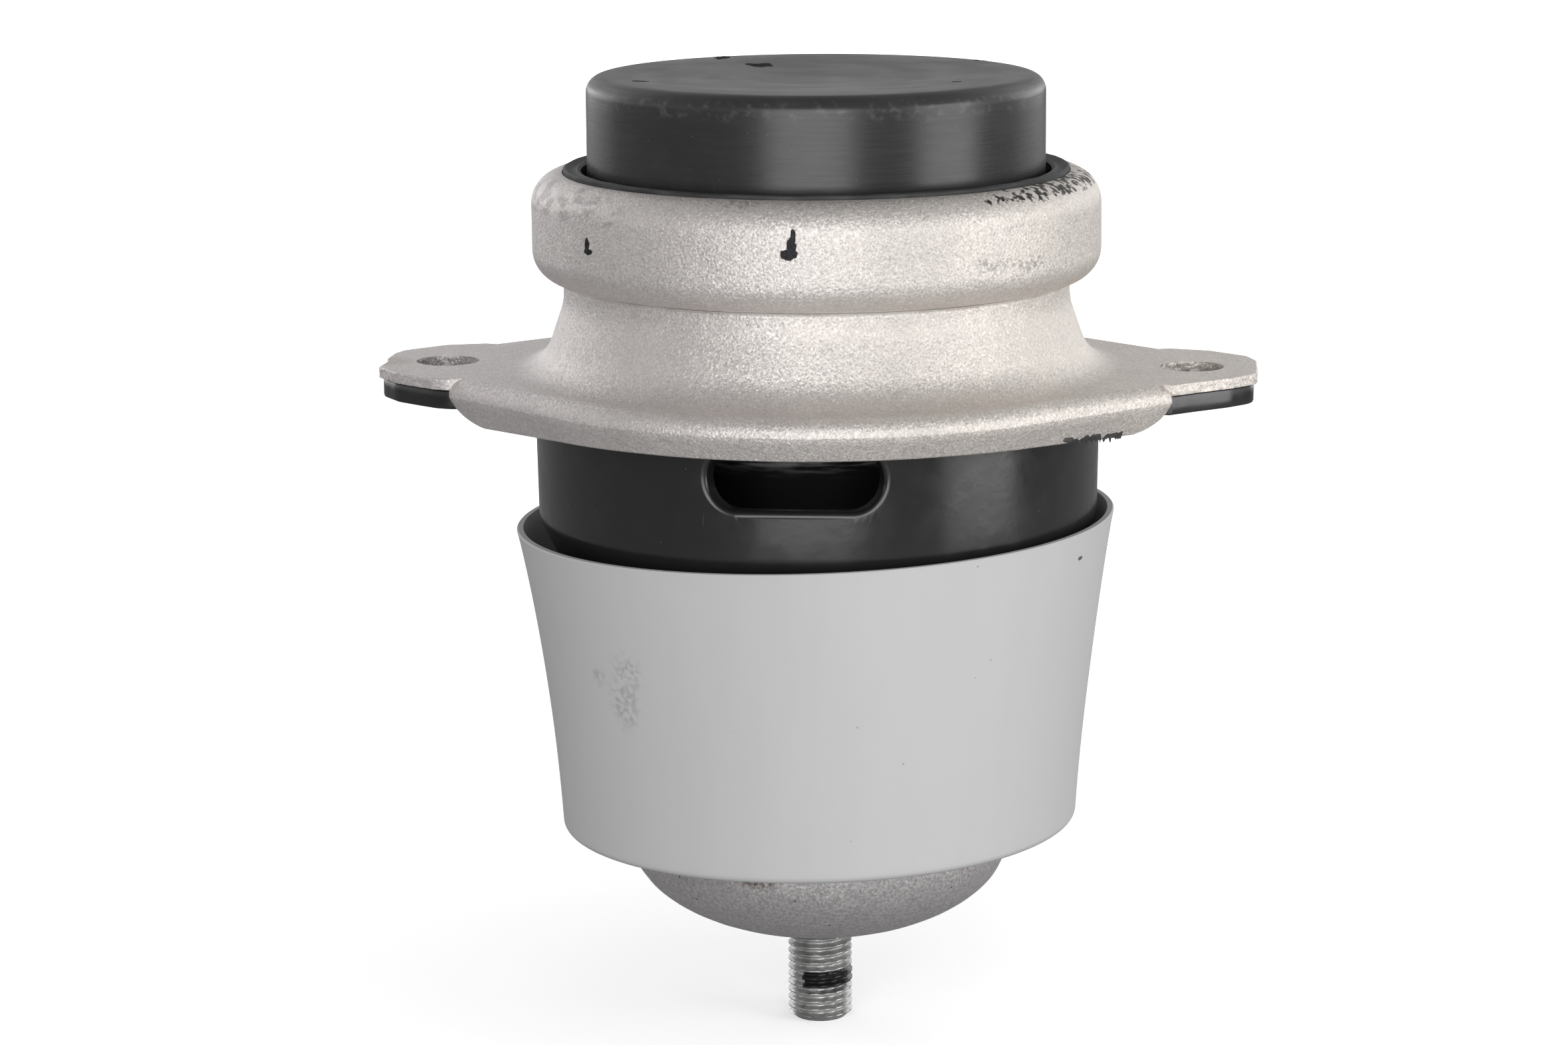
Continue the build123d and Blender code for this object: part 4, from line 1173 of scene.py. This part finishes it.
def spring_rubber():
    """Black rubber of the spring: level scuffs shown pale grey only near the housing as painted light, and
    black below them as painted shade.
    """
    finish = Finish("spring_rubber", grey(0.006), 0.6, specular=0.2)
    scuff = finish.patches(0.9, 4.0, 0.42, 0.72, (9, 9, 1))
    # painted light and shade: the scuffs show pale only on the upper part, where light comes in through the
    # slots, and the lower part is left black as in shade
    high = finish.span(finish.part(finish.place, "Z"), -17.0 * MM, -10.0 * MM)
    finish.color(finish.mix(finish.times(scuff, high), grey(0.010), grey(0.45)))
    finish.bump(finish.noise(0.8, 3.0, (5, 5, 1)), 0.03)
    return finish.material


def boot_grey():
    """Pale grey moulding, matte, with faint upright streaks, specks, smudges and a nick at its rim."""
    finish = Finish("boot_grey", grey(0.47), 0.66, specular=0.4)
    color = finish.mix(finish.patches(6.0, 3.0, 0.3, 0.7, (1, 1, 6)), BOOT_DARK, BOOT_LIGHT)
    smudge = finish.spots(BOOT_SMUDGES, ragged=0.5, grain=2.0, soft=0.5)
    smudge = finish.times(smudge, finish.patches(1.1, 4.0, 0.42, 0.62))
    color = finish.mix(finish.times(smudge, 0.45), color, grey(0.20))
    color = finish.dust(color, 6.5, 0.035, 0.6, 0.14)
    nick = finish.spot(*BOOT_NICK, grain=0.6)
    finish.color(finish.mix(nick, color, grey(0.08)))
    finish.bump(finish.noise(0.5, 2.0), 0.008)
    finish.bump(finish.noise(14.0, 1.0), 0.05)
    finish.bump(nick, 0.2, invert=True)
    return finish.material


def cast_grey():
    """Cast and blasted dome: coarse grain with small pits and a few rust marks under the boot."""
    finish = Finish("cast_grey", (0.33, 0.32, 0.325), 0.55, metallic=0.7)
    grain = finish.noise(0.6, 4.0)
    color = finish.mix(finish.span(grain, 0.3, 0.7), CAST_DARK, CAST_LIGHT)
    rust = finish.times(finish.spots(NOSE_RUST, soft=0.5), finish.patches(0.8, 3.0, 0.4, 0.6))
    color = finish.mix(finish.times(rust, 0.8), color, CAST_RUST)
    pit = finish.times(finish.span(finish.cells(4.2), 0.07, 0.04), 0.8)
    finish.color(finish.mix(pit, color, grey(0.05)))
    finish.bump(grain, 0.13)
    finish.flecks(0.3, 0.30)
    return finish.material


def zinc_plate():
    """Dull plating on the thread."""
    finish = Finish("zinc_plate", (0.45, 0.45, 0.445), 0.42, metallic=1.0)
    finish.color(finish.mix(finish.patches(1.6, 3.0, 0.35, 0.7), ZINC_LIGHT, ZINC_DARK))
    finish.roughness(finish.span(finish.noise(0.7, 3.0), 0.3, 0.7, 0.36, 0.5))
    finish.bump(finish.noise(0.3, 2.0), 0.01)
    return finish.material


def cured_adhesive():
    """Glossy black film."""
    finish = Finish("cured_adhesive", grey(0.008), 0.22)
    finish.bump(finish.noise(0.7, 2.0), 0.05)
    return finish.material


def turned_metal(name, color):
    """Turned or die-cast inner metal with fine rings round the axis."""
    finish = Finish(name, color, 0.38, metallic=1.0)
    rings = finish.noise(0.5, 2.0, (20, 20, 1))
    finish.roughness(finish.span(rings, 0.3, 0.7, 0.3, 0.46))
    finish.bump(rings, 0.01)
    return finish.material


# Light, floor and camera


def make_camera():
    """Camera of the photograph, from its place and the directions of its frame."""
    camera = bpy.data.objects.new("camera", bpy.data.cameras.new("camera"))
    camera.data.lens = CAMERA_LENS
    camera.data.sensor_width = SENSOR_WIDTH
    camera.data.clip_start = 0.05
    right, up = Vector(CAMERA_RIGHT).normalized(), Vector(CAMERA_UP).normalized()
    back = right.cross(up).normalized()
    turn = Matrix((right, back.cross(right), back)).transposed()
    camera.matrix_world = Matrix.Translation(CAMERA_PLACE) @ turn.to_4x4()
    bpy.context.scene.collection.objects.link(camera)
    bpy.context.scene.camera = camera


def make_panel(name, turn, rise, distance, size, radiance):
    """Soft panel that faces the object: degrees to the camera's right and up, then metres."""
    lamp = bpy.data.lights.new(name, "AREA")
    lamp.shape = "RECTANGLE"
    lamp.size, lamp.size_y = size
    lamp.energy = radiance * pi * size[0] * size[1]
    holder = bpy.data.objects.new(name, lamp)
    turn, rise = radians(turn + CAMERA_TURN), radians(rise)
    away = Vector((sin(turn) * cos(rise), -cos(turn) * cos(rise), sin(rise)))
    holder.location = away * distance
    holder.rotation_euler = (-away).to_track_quat("-Z", "Y").to_euler()
    holder.visible_camera = False
    bpy.context.scene.collection.objects.link(holder)


def make_world():
    """White to the camera, mirrored as a white backdrop behind and a darker room in front, soft as light."""
    world = bpy.data.worlds.new("studio")
    bpy.context.scene.world = world
    world.use_nodes = True
    nodes = Nodes(world.node_tree)
    background = nodes.tree.nodes["Background"]
    background.inputs["Color"].default_value = (1, 1, 1, 1)
    path = nodes.node("ShaderNodeLightPath").outputs
    direction = nodes.place_from("Generated")
    mirrored = nodes.ranged(nodes.part(direction, "Y"), ROOM_SPAN, (ROOM_LEVEL, 1.0))
    level = nodes.mix(path["Is Glossy Ray"], WORLD_LEVEL, mirrored, "FLOAT")
    lit = nodes.times(level, nodes.ranged(nodes.part(direction, "Z"), SKY_SPAN, (1.0, SKY_SHARE)))
    direct = nodes.math("MAXIMUM", path["Is Camera Ray"], path["Is Transmission Ray"])
    nodes.feed(background.inputs["Strength"], nodes.mix(direct, lit, 1.0, "FLOAT"))


def make_floor():
    """Pale floor under the stud: white to the camera, with the object's own shadow."""
    material = bpy.data.materials.new("floor_white")
    material.use_nodes = True
    nodes = Nodes(material.node_tree)
    shader = nodes.tree.nodes["Principled BSDF"]
    shader.inputs["Roughness"].default_value = 0.9
    shader.inputs["Specular IOR Level"].default_value = 0.0
    shader.inputs["Emission Color"].default_value = (1, 1, 1, 1)
    seen = nodes.node("ShaderNodeLightPath").outputs["Is Camera Ray"]
    nodes.feed(shader.inputs["Base Color"], nodes.mix(seen, grey(FLOOR_BOUNCE), grey(FLOOR_SEEN)))
    away = nodes.vector("LENGTH", nodes.place_from("Object"))
    glow = nodes.ranged(away, FLOOR_FADE, (FLOOR_GLOW, 1.0))
    nodes.feed(shader.inputs["Emission Strength"], nodes.times(glow, seen))
    mesh = bpy.data.meshes.new("floor")
    half, z = FLOOR_HALF, FLOOR_HEIGHT * MM
    corners = [(-half, -half, z), (half, -half, z), (half, half, z), (-half, half, z)]
    mesh.from_pydata(corners, [], [(0, 1, 2, 3)])
    mesh.materials.append(material)
    floor = bpy.data.objects.new("floor", mesh)
    bpy.context.scene.collection.objects.link(floor)


# Put together

steel = blasted_steel()
coat = black_coat()
cover_finish = cover_coat()
rubber = black_rubber()
inner_steel = turned_metal("inner_steel", (0.5, 0.5, 0.51))
inner_aluminium = turned_metal("inner_aluminium", (0.66, 0.66, 0.67))


def place(piece, body, slot, *nodes):
    """Lets a piece ride on its body in place of CAD nodes; its slot argument is not used."""
    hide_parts(*nodes)
    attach(piece, body)


place(make_housing_shell(steel), "housing", "blasted_steel", "housing_shell")
place(make_can(coat), "housing", "black_coated_steel", "travel_limiter_can")
place(make_cover(cover_finish), "housing", "black_coated_cover", "top_cover")
place(make_seal(rubber), "housing", "black_rubber", "cover_lip_seal")
place(make_boot(boot_grey()), "core", "grey_boot", "heat_shield_boot")
place(make_nose(cast_grey()), "core", "cast_nose", "core_nose")
place(make_stud(zinc_plate()), "core", "plated_stud", "stud")
place(make_patch(cured_adhesive()), "core", "patch_film", "thread_lock_patch")
for piece, slot in (
    (make_torn_flash(rubber), "black_rubber"),
    (make_cover_chips(chipped_coat()), "black_coated_cover"),
):
    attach(piece, "housing")
spring = make_spring(spring_rubber())
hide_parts("main_rubber_spring")
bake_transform(spring)

inner_finishes = {
    inner_steel: [
        "bellows_ring", "spring_outer_ring", "upper_spacer", "rebound_stop_disc", "lower_spacer",
        "boot_washer",
    ],
    inner_aluminium: ["track_plate_lower", "track_plate_upper", "spring_inner_core"],
    rubber: ["bellows", "decoupler_membrane", "rebound_buffer", "bump_buffer"],
}
for finish, names in inner_finishes.items():
    for name in names:
        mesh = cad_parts[name].data
        mesh.materials.clear()
        mesh.materials.append(finish)

make_camera()
make_world()
make_floor()
make_panel("front_panel", -3, 6.5, 0.48, (0.36, 0.35), 3.4)
make_panel("right_panel", 66, 6.5, 0.48, (0.28, 0.35), 3.2)
make_panel("right_back_panel", 135, 14, 1.6, (1.1, 1.3), 1.0)
make_panel("left_back_panel", -140, 14, 1.6, (1.1, 1.3), 1.0)

bpy.context.scene.view_settings.view_transform = "Standard"
